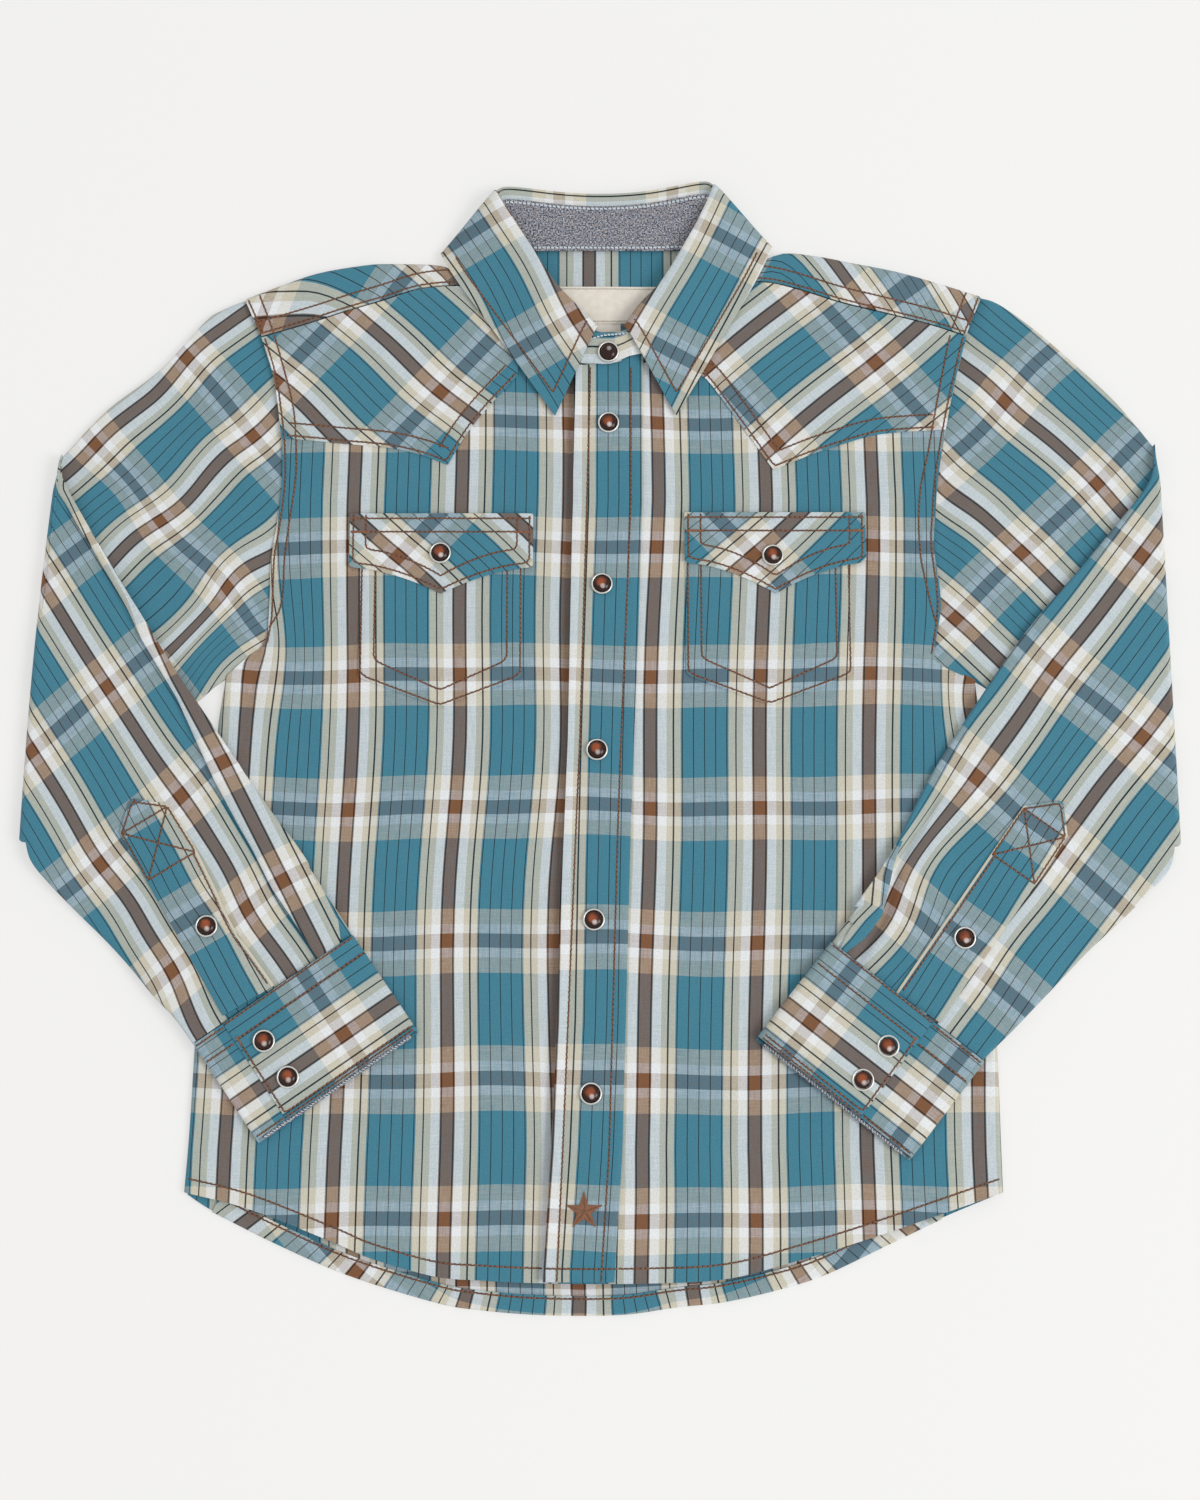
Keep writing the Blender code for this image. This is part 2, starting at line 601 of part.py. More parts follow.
def make_sleeve(side):
    """A sleeve: a flattened tube from the armhole, turned over at the elbow, to the cuff."""
    stations = sleeve_sections(side)
    rows = []
    for length, place in stations:
        rows.append([place(a, h, length) for a, h in ring(SLEEVE_DEPTH, 0, length)])
    for length, place in reversed(stations):
        rows.append([place(a, h, length) for a, h in ring(SLEEVE_DEPTH, WALL, length)])
    rows.append(rows[0])
    finish("sleeve_" + side, grid(rows), CLOTH)


def cuff_frame(side):
    """Origin at the lap's seam corner, directions across and down the cuff, and its width."""
    size = CUFFS[side]
    origin, far = Vector(size["lap"]), Vector(size["far"])
    across = (far - origin).normalized()
    down = Vector((across.y, -across.x)) if side == "right" else Vector((-across.y, across.x))
    return origin, across, down, (far - origin).length


def make_cuff(side):
    """A cuff: a strip wound once round and lapped, and the facing that lies inside it."""
    origin, across, down, width = cuff_frame(side)
    size = CUFFS[side]
    radius = CUFF_DEPTH / 2
    under_radius = (CUFF_DEPTH - LAYER) / 2
    under = CUFF_DEPTH - LAYER
    path = [(size["lap_end"] + LAP, under), (size["lap_end"] + 2, under), (under_radius, under)]
    for step in range(1, 4):
        angle = math.pi * step / 4
        path.append((under_radius * (1 - math.sin(angle)), under_radius * (1 + math.cos(angle))))
    path += [(lerp(under_radius, width - radius, step / 4), 0.0) for step in range(5)]
    for step in range(1, 4):
        angle = math.pi * step / 4
        path.append((width - radius * (1 - math.sin(angle)), radius * (1 - math.cos(angle))))
    path += [(lerp(width - radius, size["lap_end"], step / 4), CUFF_DEPTH) for step in range(5)]
    rows = []
    for step in range(4):
        row = []
        for a, height in path:
            reach = size["depth"] + FACING_SHOWS * (1 - ease(height / CUFF_DEPTH * 2 - 0.2))
            place = origin + across * a + down * reach * step / 3
            row.append((place.x, place.y, FOREARM_LIFT + height))
        rows.append(row)
    finish("cuff_" + side, grid(rows, turn=side == "left"), CLOTH, WALL)

    rows = []
    inset = radius + 1.5
    for step in range(3):
        along = size["depth"] + FACING_SHOWS - 0.6 - FACING_DEPTH * (1 - step / 2)
        row = []
        for column in range(5):
            place = origin + across * lerp(inset, width - inset, column / 4) + down * along
            row.append((place.x, place.y, FOREARM_LIFT + LAYER + WALL))
        rows.append(row)
    finish("cuff_facing_" + side, grid(rows), CHAMBRAY, WALL)


def make_sleeve_placket(side):
    """The pointed strip on the forearm, up from the cuff."""
    size = SLEEVE_PLACKET[side]
    start, shoulder, tip = Vector(size["cuff"]), Vector(size["shoulder"]), Vector(size["tip"])
    run = (shoulder - start).normalized()
    across = Vector((run.y, -run.x))
    rows = []
    for step in range(10):
        row = []
        for column in range(5):
            offset = size["half"] * (column / 2 - 1)
            if step < 9:
                middle = lerp(start, shoulder, step / 8)
                if step == 8:
                    middle = middle + (tip - shoulder) * (1 - abs(column / 2 - 1)) * 0.5
                place = middle + across * offset
            else:
                place = shoulder + (tip - shoulder) * (1 - abs(column / 2 - 1)) + across * offset
                place += run * 0.8
            row.append((place.x, place.y, forearm_top(side, place.x, place.y) + GAP + 0.15 + WALL))
        rows.append(row)
    finish("sleeve_placket_" + side, grid(rows), CLOTH, WALL)


def make_stand():
    """The collar stand, a band lapped at the front, and the chambray lining at the back."""
    bands = [STAND_UNDER] + [row[:6] for row in NECK] + [STAND_OVER]
    rows = []
    for seam_x, seam_y, seam_z, fold_x, fold_y, fold_z in smooth(bands, 2):
        seam, fold = Vector((seam_x, seam_y, seam_z)), Vector((fold_x, fold_y, fold_z))
        rows.append([lerp(seam, fold, share) for share in (0, 0.5, 1)])
    finish("collar_stand", grid(rows), CLOTH, WALL, centred=True)

    first, last = LINING_ROWS
    bands = smooth([row[:6] for row in NECK[first:last + 1]], 2)
    seams = [Vector(row[:3]) for row in bands]
    folds = [Vector(row[3:]) for row in bands]
    rows = []
    for index, (seam, fold) in enumerate(zip(seams, folds)):
        before, after = max(index - 1, 0), min(index + 1, len(seams) - 1)
        run = seams[after] + folds[after] - seams[before] - folds[before]
        inward = run.cross(fold - seam).normalized()
        shift = inward * (WALL + GAP)
        top = 1 - LINING_INSET / (fold - seam).length
        rows.append([lerp(seam, fold, share) + shift for share in (0.02, top / 2, top)])
    finish("stand_lining", grid(rows), CHAMBRAY, WALL, centred=True)


def fall_curve(seam, fold, rise, edge, share):
    """A point across the fall, which leaves the fold upwards and comes down to its edge."""
    rim = (fold - seam).normalized()
    start = fold + rim * FOLD_GAP
    leave = rim * 8 + Vector((0, 0, rise))
    arrive = (edge - start) * 1.15
    arrive.z = -2.0 if rise > 0 else 0.0
    square, cube = share * share, share ** 3
    return (start * (2 * cube - 3 * square + 1) + leave * (cube - 2 * square + share)
            + edge * (3 * square - 2 * cube) + arrive * (cube - square))


def make_collar():
    """The collar's fall: under the yoke at the back, round both sides, and out to the leaves."""
    rows = []
    for row in smooth(NECK, 2):
        seam, fold, rise, edge = Vector(row[:3]), Vector(row[3:6]), row[6], Vector(row[7:])
        rows.append([fall_curve(seam, fold, rise, edge, step / 7) for step in range(8)])
    finish("collar", grid(rows), BIAS, WALL, centred=True)


def make_label():
    rows = []
    for step in range(5):
        y = lerp(LABEL["bottom"], LABEL["top"], step / 4)
        row = []
        for column in range(3):
            x = lerp(LABEL["left"], LABEL["right"], column / 2)
            row.append((x, y, yoke_lift(x, y) + 2 * WALL + 2 * GAP))
        rows.append(row)
    finish("label", grid(rows), WOVEN_LABEL, WALL)


def turned(name, profile, stuff, place, normal):
    """A piece turned from a profile of (radius, height), seated on a surface."""
    tilt = Vector((0, 0, 1)).rotation_difference(normal)
    rows = []
    for step in range(SNAP_SIDES + 1):
        angle = 2 * math.pi * (step % SNAP_SIDES) / SNAP_SIDES
        row = []
        for radius, height in profile:
            point = Vector((radius * math.cos(angle), radius * math.sin(angle), height))
            row.append(place + tilt @ point)
        rows.append(row)
    finish(name, grid(rows), stuff)


def slope_normal(height, x, y):
    """The upward normal of a height function."""
    reach = RING_OUTER
    along_x = (height(x + reach, y) - height(x - reach, y)) / (2 * reach)
    along_y = (height(x, y + reach) - height(x, y - reach)) / (2 * reach)
    return Vector((-along_x, -along_y, 1)).normalized()


def snap_places():
    """Places and normals of the snaps: stand, front, flaps, sleeve plackets and cuffs."""
    def placket_top(x, y):
        return front_lift(x, y) + 2 * LAYER + WALL

    def flap_top(x, y):
        return front_lift(x, y) + 2 * LAYER + WALL

    x, y = STAND_SNAP
    stand_slope = Vector((0, -(NECK[-1][5] - NECK[-1][2]), NECK[-1][4] - NECK[-1][1])).normalized()
    share = (y - NECK[-1][1]) / (NECK[-1][4] - NECK[-1][1])
    places = [(Vector((x, y, lerp(NECK[-1][2], NECK[-1][5], share) + WALL / 2)), stand_slope)]
    for x, y in FRONT_SNAPS:
        places.append((Vector((x, y, placket_top(x, y))), slope_normal(placket_top, x, y)))
    for side in ("right", "left"):
        x, y = FLAP_SNAPS[side]
        places.append((Vector((x, y, flap_top(x, y))), slope_normal(flap_top, x, y)))
    for side in ("right", "left"):
        def sleeve_top(x, y, side=side):
            return forearm_top(side, x, y) + GAP + 0.15 + WALL

        x, y = SLEEVE_PLACKET[side]["snap"]
        places.append((Vector((x, y, sleeve_top(x, y))), slope_normal(sleeve_top, x, y)))
        origin, across, down, _ = cuff_frame(side)
        for along in CUFFS[side]["snap_rows"]:
            place = origin + across * (CUFFS[side]["lap_end"] + SNAP_INSET) + down * along
            places.append((Vector((place.x, place.y, FOREARM_LIFT + CUFF_DEPTH)),
                           Vector((0, 0, 1))))
    return places


def make_snaps():
    ring_profile = [(RING_INNER, 0), (RING_OUTER - 0.3, 0), (RING_OUTER, RING_HEIGHT * 0.5),
                    (RING_OUTER - 0.4, RING_HEIGHT), (RING_INNER, RING_HEIGHT * 0.9),
                    (RING_INNER, 0)]
    cap_profile = [(0, 0), (CAP_RADIUS, 0), (CAP_RADIUS, RING_HEIGHT * 0.5),
                   (CAP_RADIUS * 0.75, CAP_HEIGHT * 0.85), (0, CAP_HEIGHT)]
    for number, (place, normal) in enumerate(snap_places(), start=1):
        seat = place + normal * (GAP + 0.1)
        turned("snap_ring_%02d" % number, ring_profile, STEEL, seat, normal)
        turned("snap_cap_%02d" % number, cap_profile, PEARL, seat, normal)


def build():
    for thing in list(bpy.data.objects):
        bpy.data.objects.remove(thing, do_unlink=True)
    make_back()
    make_back_yoke()
    for side in ("right", "left"):
        make_front(side)
        make_front_yoke(side)
        make_patch("pocket", side, POCKETS[side], 1, CLOTH, 6)
        make_patch("flap", side, FLAPS[side], 2, BIAS, 4)
        make_sleeve(side)
        make_cuff(side)
        make_sleeve_placket(side)
    make_placket()
    make_stand()
    make_collar()
    make_label()
    make_snaps()


build()
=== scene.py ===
"""Child's western snap shirt in woven plaid, laid flat with both sleeves folded over at the elbow.

The tables and sizes are in millimetres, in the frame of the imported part: +X runs to the wearer's
left, +Y to the collar, +Z up, and the shirt lies on z = 0. Sides are the wearer's own.
"""

import math

import bmesh
import bpy
import numpy as np
from mathutils import Matrix, Vector
from mathutils.bvhtree import BVHTree


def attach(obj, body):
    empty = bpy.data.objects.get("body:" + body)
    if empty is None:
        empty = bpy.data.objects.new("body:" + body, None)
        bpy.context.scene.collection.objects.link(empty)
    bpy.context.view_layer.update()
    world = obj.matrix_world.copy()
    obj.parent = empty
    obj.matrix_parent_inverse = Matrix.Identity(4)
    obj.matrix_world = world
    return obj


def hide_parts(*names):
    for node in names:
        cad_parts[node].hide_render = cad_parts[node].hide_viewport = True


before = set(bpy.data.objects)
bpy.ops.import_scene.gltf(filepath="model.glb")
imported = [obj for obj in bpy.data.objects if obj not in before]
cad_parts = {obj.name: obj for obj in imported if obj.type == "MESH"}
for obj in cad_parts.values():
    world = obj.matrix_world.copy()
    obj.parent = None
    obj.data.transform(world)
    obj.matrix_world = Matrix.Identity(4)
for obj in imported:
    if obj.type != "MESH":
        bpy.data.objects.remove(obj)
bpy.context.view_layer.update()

MM = 0.001
OUT = {"right": -1, "left": 1}    # the way out from the shirt's middle, along X

# ---- Sizes shared with the part's source, as x, y unless said otherwise ----
WALL = 1.0            # depth that one layer of cloth takes in the stack
GAP = 0.3
LAYER = WALL + GAP
FRONT_LIFT = 2.3
SLEEVE_DEPTH = 3.2
FOREARM_LIFT = 3.9
CUFF_DEPTH = 4.9
YOKE_LIFT = 1.4
PLACKET_LIFT = GAP + 0.15 + WALL    # top of a sleeve placket above the sleeve

SIDE = {
    "right": [(-201.2, -229.3), (-199.8, -206), (-198.9, -183), (-198.2, -160), (-196.8, -130),
              (-195.2, -97), (-193.8, -64), (-192.4, -32), (-191.3, -2), (-189.6, 14)],
    "left": [(195.0, -229.3), (194.7, -206), (194.5, -183), (194.1, -160), (193.4, -130),
             (192.7, -97), (192.0, -64), (191.4, -32), (190.6, -2), (189.6, 12)],
}
ARMHOLE = {
    "right": [
        (-183.5, 224), (-178.8, 213.6), (-174, 202.5), (-167.7, 182.3), (-164.7, 165), (-162.7, 149),
        (-161.8, 127.4), (-163.8, 104.7), (-166.4, 85.3), (-166.8, 57.2), (-168.8, 42.2), (-177, 35),
        (-187.5, 25)],
    "left": [
        (197, 225.3), (192.4, 213), (188.3, 203), (183.7, 185.5), (180.2, 171), (176.5, 153.5),
        (172, 127.4), (170.2, 108), (169.3, 92), (171.8, 62), (168, 36), (175, 30), (187.8, 23.5)],
}
# The second row of sewing beside each armhole
ARMHOLE_ROW = {
    "right": [
        (-175.4, 225.1), (-168.8, 207.8), (-162.1, 185.7), (-156.5, 163.3), (-154.9, 140.5),
        (-155.1, 126.2), (-158.1, 101), (-159.7, 84.3), (-159.9, 70.3), (-161.6, 58.9), (-166.6, 50)],
    "left": [
        (188.8, 226.7), (180.6, 205.6), (176.5, 187.9), (173, 171.3), (170.1, 156.4), (167.1, 140.5),
        (163.2, 123.6), (161.7, 105.2), (162.3, 86.9), (164.1, 76), (167.2, 60.4), (169.4, 51.5)],
}
# Points of ARMHOLE where the front yoke's upper and lower seams meet it
FRONT_SEAM_ROW = 2
YOKE_ROW = 5
# Between these heights the rows of a body panel lie level
SHAPE_LOW = -97.0
SHAPE_HIGH = -32.0
FRONT_HEM = [
    (-201, -229.3), (-169, -237.3), (-127, -253.4), (-110, -260.5), (-80, -268.9), (-59, -270.8),
    (-27, -272.2), (23, -272.2), (60, -270.3), (94, -261.9), (133, -250.1), (195, -229.3)]
BACK_HEM = [
    (-201, -229.3), (-187, -238.2), (-155.7, -253.4), (-121.2, -268), (-79.7, -280.6), (-59, -284.2),
    (-28.3, -286.6), (9.6, -286.6), (37, -283), (59.5, -280.6), (85.1, -275), (107.8, -268),
    (136.4, -254.8), (164.7, -241.6), (195, -229.3)]
BACK_HEM_DEPTH = 8.7
FRONT_TOP = [
    (-174, 202.5), (-150, 209.8), (-131, 216.3), (-111.7, 222.3), (-95, 228), (-77, 230), (-62, 228),
    (-52, 212), (-42, 203), (-20, 191), (-2, 186.6), (12, 186.6), (28, 191), (48, 204), (58, 214),
    (68, 230), (85, 232), (102, 228.3), (124, 221.2), (147.3, 215.2), (169.4, 209.3), (188.3, 203)]
SHOULDER = [
    (-183.5, 224), (-164.7, 231.5), (-145.7, 238.1), (-121, 242.4), (-107, 243), (-90, 242.5),
    (-80, 241.5), (-62, 240), (68, 243), (88, 246.5), (98, 248.8), (114.7, 246.8), (130.8, 243.5),
    (154.5, 238.6), (178.2, 231.5), (197, 225.3)]
BACK_YOKE_EDGE = [
    (-163, 149), (-120, 139), (-70, 131), (-30, 118), (4, 96), (38, 118), (78, 131), (128, 141),
    (176.5, 153.5)]
# The front yokes' lower edges: x, y
YOKE_EDGE = {
    "right": [(-163, 149.0), (-146, 147.5), (-130, 145.9), (-108, 143.8), (-91.5, 140.1),
              (-77.6, 134.8), (-64, 157.1), (-42, 182.5)],
    "left": [(52, 182.0), (58, 176.0), (88.3, 132.1), (107.4, 140.1), (122.8, 145.4),
             (136.7, 149.7), (149.5, 151.8), (176.5, 153.5)],
}
YOKE_POINT = {"right": -77.6, "left": 88.3}
YOKE_INNER = {"right": -42, "left": 52}
NECK_BACK = 250.7
NECK_SIDE = {"right": -62, "left": 68}
# The placket's edges: y, x of the one on the wearer's right, x of the other
PLACKET = [
    (-271.6, -27.4, 0.8), (-184, -22.4, 5), (-67, -18.3, 8.5), (-7, -16, 10.3), (118, -13.8, 15.8),
    (186.3, -12.3, 16.2)]
UNDERLAP = 20.0       # how far the right front reaches under the placket
# The placket's two rows of sewing, in the same columns
PLACKET_ROWS = [
    (-271, -20.7, 0.5), (-210, -18, 4.4), (-53, -11.9, 8.8), (-8, -10, 10.5), (116, -6.6, 15.7),
    (178, -5.1, 15.8)]
# Pointed patches: x of the inner and outer edge, y of the top, the corners and the point
POCKETS = {
    "right": {"inner": -39, "outer": -121.3, "top": 106, "bottom": 24.2, "point": 8.9},
    "left": {"inner": 43.2, "outer": 126.7, "top": 106, "bottom": 25.3, "point": 9.9},
}
FLAPS = {
    "right": {"inner": -33.8, "outer": -126.7, "top": 108.7, "bottom": 80.6, "point": 67.1},
    "left": {"inner": 42.7, "outer": 134.4, "top": 109.3, "bottom": 83, "point": 67.1},
}
# Soft swells of the fronts: middle x, y, half widths, height
SWELLS = [
    (-85, -10, 50, 60, 0.9), (85, 0, 50, 60, 0.9), (10, -225, 60, 30, 0.8), (-72, 232, 24, 16, 0.5),
    (78, 234, 24, 16, 0.5)]
# Sections across a sleeve: x, y of the upper edge, x, y of the lower one, bow
UPPER_SLEEVE = {
    "right": [
        (-194, 218.5, -193.5, 19.5, 0), (-203.5, 212, -201, 12.6, 0), (-225.9, 186, -223, -6, 0),
        (-252.7, 164, -252, -31, 2), (-273.8, 139.8, -284, -58.8, 2)],
    "left": [
        (206.4, 221, 193.6, 18.8, 0), (224, 207.6, 206, 8.6, 0), (242.5, 190.4, 228, -11, 0),
        (263.9, 168.9, 258, -37.5, 0), (282.2, 145.2, 284, -61, 0)],
}
FOREARM = {
    "right": [
        (-273.3, 128, -280.6, -69, 2), (-256.4, 98, -271, -80.5, 0), (-234.5, 62.4, -256, -95.5, 0),
        (-213, 28.5, -242.5, -108.4, 0), (-190.5, -5, -230.5, -121, 0), (-167.6, -38.4, -218, -135.5, 0),
        (-144.3, -70.5, -208, -145.5, 0), (-121.5, -105.1, -198.4, -158.2, 0)],
    "left": [
        (279, 126, 281, -72.5, 0), (260.2, 101.5, 270, -85, 0), (239.5, 77, 255, -99.5, 0),
        (215.5, 49.5, 240, -113, 0), (190.5, 14.5, 226.5, -126.5, 0), (164.5, -25.5, 213.5, -139.5, 0),
        (142, -67.4, 200.7, -152.3, 0), (113.9, -108.8, 186.3, -166, 0)],
}
REST_WIDTH = 55.0     # how gently a forearm comes down past the body's edge
# Wide soft pleats of the forearms: start x, y, end x, y, half width, height
PLEATS = {
    "right": [(-203, -5, -141, -92, 9, 0.9)],
    "left": [(152, -40, 134, -93, 9, 0.9), (196, -10, 163, -62, 12, 0.6)],
}
# Corners on the cuff's seam, and distances from the seam or the lap's corner
CUFFS = {
    "right": {"lap": (-197.9, -158.6), "far": (-121.0, -105.4), "depth": 55.9, "lap_end": 17.6,
              "second_row": 10.2, "end_row": 1.3, "snaps": ((29.5, 18.5), (29.5, 39.7))},
    "left": {"lap": (186.1, -166.5), "far": (113.7, -109.3), "depth": 58.6, "lap_end": 30.6,
             "second_row": 12.4, "end_row": 1.0, "snaps": ((40.6, 23.2), (40.4, 43.8))},
}
LAP = 20.0            # how far a cuff's under end reaches beneath its upper one
FACING_DEPTH = 24.0
FACING_SHOWS = 1.6
# Ends of the middle line, half the width, and how much wider it is on the outer side
SLEEVE_PLACKET = {
    "right": {
        "cuff": (-173.6, -136.2), "shoulder": (-226, -48.5), "tip": (-232, -38.2), "half": 13,
        "snap": (-192.7, -101.2), "teal": -4.7, "box": 27.5,
        "outer_edge": [(0, 2.6), (17, 1), (28, -0.5), (42, 0), (51, 1.2), (60, 1.8), (76, 2.7),
                       (91, 2.5), (102, 1.6)]},
    "left": {
        "cuff": (156.5, -138.9), "shoulder": (219.8, -49.5), "tip": (228.6, -39.2), "half": 13,
        "snap": (178.5, -106.9), "teal": -1.6, "box": 28.6,
        "outer_edge": [(0, -0.2), (70, 0.2), (85, 0.8), (92, 0.8), (102, 0.2)]},
}
# Round the neck from the wearer's right front: x, y, z of the stand's seam, x, y, z of its fold,
# the collar's rise over the fold, and x, y, z of the collar's outer edge
NECK = [
    (-4, 187.6, 5.1, -1.5, 205, 6.9, 18, -23, 160.5, 4.9),
    (-22, 192, 5.3, -13, 217, 7.6, 13, -33.5, 175.5, 5.6),
    (-42, 204, 5.4, -25, 230, 8.6, 13, -45, 192, 5.9),
    (-56, 222, 5.3, -40, 254, 9.2, 11, -62.5, 216.5, 6.2),
    (-60, 233, 4.9, -47, 266, 9, 12, -74.5, 233.5, 6.6),
    (-59, 243, 4.3, -53.5, 277.3, 8.5, 10, -81.8, 247, 3.4),
    (-54, 248.5, 3.6, -53, 279.6, 6.8, -3, -80, 247.5, 0.9),
    (-45, 251.3, 3, -46, 281.8, 6.1, -12, -70, 239, 0.6),
    (-18, 251.8, 2.7, -18, 279, 5.3, -14, -22, 236, 0.6),
    (4, 251.8, 2.7, 4, 278.3, 5.2, -14, 4, 235.5, 0.6),
    (26, 251.8, 2.7, 26, 280, 5.3, -14, 30, 236, 0.6),
    (52, 252.3, 3, 52, 284.6, 6.1, -12, 76, 241, 0.6),
    (60, 249.5, 3.6, 58.3, 282.6, 6.8, -2, 86.5, 251, 0.9),
    (65, 244, 4.3, 58.8, 280.4, 8.5, 11, 88.6, 250.5, 3.4),
    (66, 234, 4.9, 54, 268, 9, 12, 81.5, 234.5, 6.6), (62, 222, 5.3, 47, 254, 9.2, 11, 71.5, 216.5, 6.2),
    (48, 204.5, 5.4, 33, 230, 8.6, 13, 57.5, 192, 5.9), (30, 192.5, 6, 21, 217, 8, 13, 48, 175.5, 5.9),
    (12, 187.6, 6.9, 12.5, 205, 8, 16, 39, 160.5, 5.6)]
# The stand's ends beyond the first and the last row of NECK, in the same columns
STAND_UNDER = (11, 187.6, 4.9, 11, 204.6, 6.2)
STAND_OVER = (-10, 188.0, 6.9, -6, 203.5, 8.0)
FOLD_GAP = 1.6            # between the stand's fold and the collar's start
LINING_ROWS = (6, 12)     # rows of NECK between which the lining shows
LINING_INSET = 5.0        # below the stand's fold
LABEL = {"left": -27.0, "right": 35.0, "bottom": 208.0, "top": 231.5}
# Caps lie this far apart on the pearl's pattern, in cap radii, and the stand's nearly black one
# lies this far aside, away from the painted light and highlight and under a painted highlight of its own
CAP_RADIUS = 4.1
CAP_SPACING = 10.0
DARK_CAP_SHIFT = 2.5
RING_OUTER = 5.5
FRONT_SNAPS = [(4.4, 156.3), (1.0, 71.8), (-1.5, -13.0), (-3.0, -97.7), (-4.4, -182.3)]
STAND_SNAP = (4.3, 193.4)
FLAP_SNAPS = {"right": (-80.6, 87.8), "left": (87.2, 86.6)}
STAR = (-7.7, -238.2)
STAR_RADIUS = 9.4

# Rows of sewing: how far each runs inside the edge or the seam that it follows
ARMHOLE_SEAM = 1.5
ARMHOLE_TUCK = 1.6    # how far the sleeve reaches under the body there
SHOULDER_ROWS = (2.4, 9.0)
YOKE_ROWS = (1.6, 8.2)
POCKET_ROWS = (1.1, 7.8)
FLAP_ROWS = (1.9, 8.2)
FLAP_TOP_ROWS = (2.6, 9.6)
HEM_ROW = 7.0
BACK_HEM_ROW = 7.3
LEAF_ROW = 6.0

# ---- The weave and how it lies on each panel ----
WARP_REPEAT = 53.9
WEFT_REPEAT = 66.9
TEAL = (0.026, 0.192, 0.284)
SAGE = (0.592, 0.566, 0.455)
SKY = (0.780, 0.812, 0.828)
BROWN = (0.188, 0.068, 0.014)
INK = (0.006, 0.008, 0.012)
# Warp stripes from the middle of the brown one: width, colour
WARP = [
    (2.65, BROWN), (0.6, INK), (0.4, BROWN), (4.4, SKY), (2.95, SAGE), (0.65, INK), (3.2, SAGE),
    (0.525, TEAL), (0.6, INK), (4.8, TEAL), (0.6, INK), (4.8, TEAL), (0.6, INK), (4.8, TEAL), (0.6, INK),
    (4.8, TEAL), (0.6, INK), (0.525, TEAL), (3.25, SAGE), (0.65, INK), (3.1, SAGE), (4.4, SKY),
    (0.4, BROWN), (0.6, INK), (2.65, BROWN)]
WEFT_TEAL = (0.112, 0.258, 0.325)
WEFT_CREAM = (0.650, 0.603, 0.500)
WEFT_PALE = (0.822, 0.825, 0.841)
WEFT_BROWN = (0.240, 0.136, 0.094)
WEFT_SHARE = 0.34     # how much of the weft shows between the warp threads
# Widths of a thread and of the label's rib, in metres
SHIRTING_THREAD = 0.00036
CHAMBRAY_THREAD = 0.00045
LABEL_RIB = 0.0005
# Weft stripes from the middle of the brown one: width, colour
WEFT = [(3.6, WEFT_BROWN), (4.7, WEFT_PALE), (7.6, WEFT_CREAM), (35.1, WEFT_TEAL),
        (7.6, WEFT_CREAM), (4.7, WEFT_PALE), (3.6, WEFT_BROWN)]

# Heights at which brown weft stripes cross the fronts, and the stripe's number
BODY_WEFT = [(-242.4, 0), (-176.1, 1), (-108.4, 2), (-41.8, 3), (25.1, 4), (91.8, 5), (157.1, 6)]
# Lean of the fronts' warp: y, x of one brown stripe, x of the next one
BODY_WARP = {
    "right": [(-209.2, -128.8, -74.8), (-146.6, -127.8, -74.8), (-77.8, -126.2, -74.1),
              (-7.5, -124.2, -70.6), (60.1, -124.0, -70.3), (116.4, -125.0, -70.6)],
    "left": [(-209.2, 19.8, 74.5), (-146.6, 22.2, 76.5), (-77.8, 23.7, 78.0), (-7.5, 24.9, 79.8),
             (60.1, 27.2, 81.9), (116.4, 29.2, 83.8)],
}
# Middle of the placket's teal stripe: y, x
PLACKET_WARP = [(-267.0, -2.8), (-209.2, 0.9), (-146.7, 3.3), (-78.1, 4.4), (-8.0, 5.9),
                (59.5, 7.8), (115.7, 9.6)]
# Places where brown warp and weft stripes cross, or lie half a repeat off: x, y, warp and weft number
UPPER_GRAIN = {
    "right": [
        (-212.3, 192.4, 0, 0), (-257.6, 145.8, 0, 1), (-176.6, 150.1, 1, 0), (-223.5, 105.1, 1, 1),
        (-188, 70.9, 2, 1), (-194.1, 172.4, 0.5, 0), (-238.4, 125.6, 0.5, 1), (-205.5, 87, 1.5, 1),
        (-176.7, 54.2, 2.5, 1), (-181.9, 110.9, 1.5, 0.5), (-223.8, 67.9, 1.5, 1.5),
        (-255.8, 111.7, 0.5, 1.5), (-196.2, 37.5, 2.5, 1.5)],
    "left": [
        (207.1, 168.8, 0, 0), (252.9, 125.1, 0, 1), (213.2, 89.3, 1, 1), (179.2, 55, 2, 1),
        (224.3, 189.7, -0.5, 0), (190.7, 149.7, 0.5, 0), (270.8, 143.5, -0.5, 1), (234.4, 107.8, 0.5, 1),
        (196, 72.5, 1.5, 1)],
}
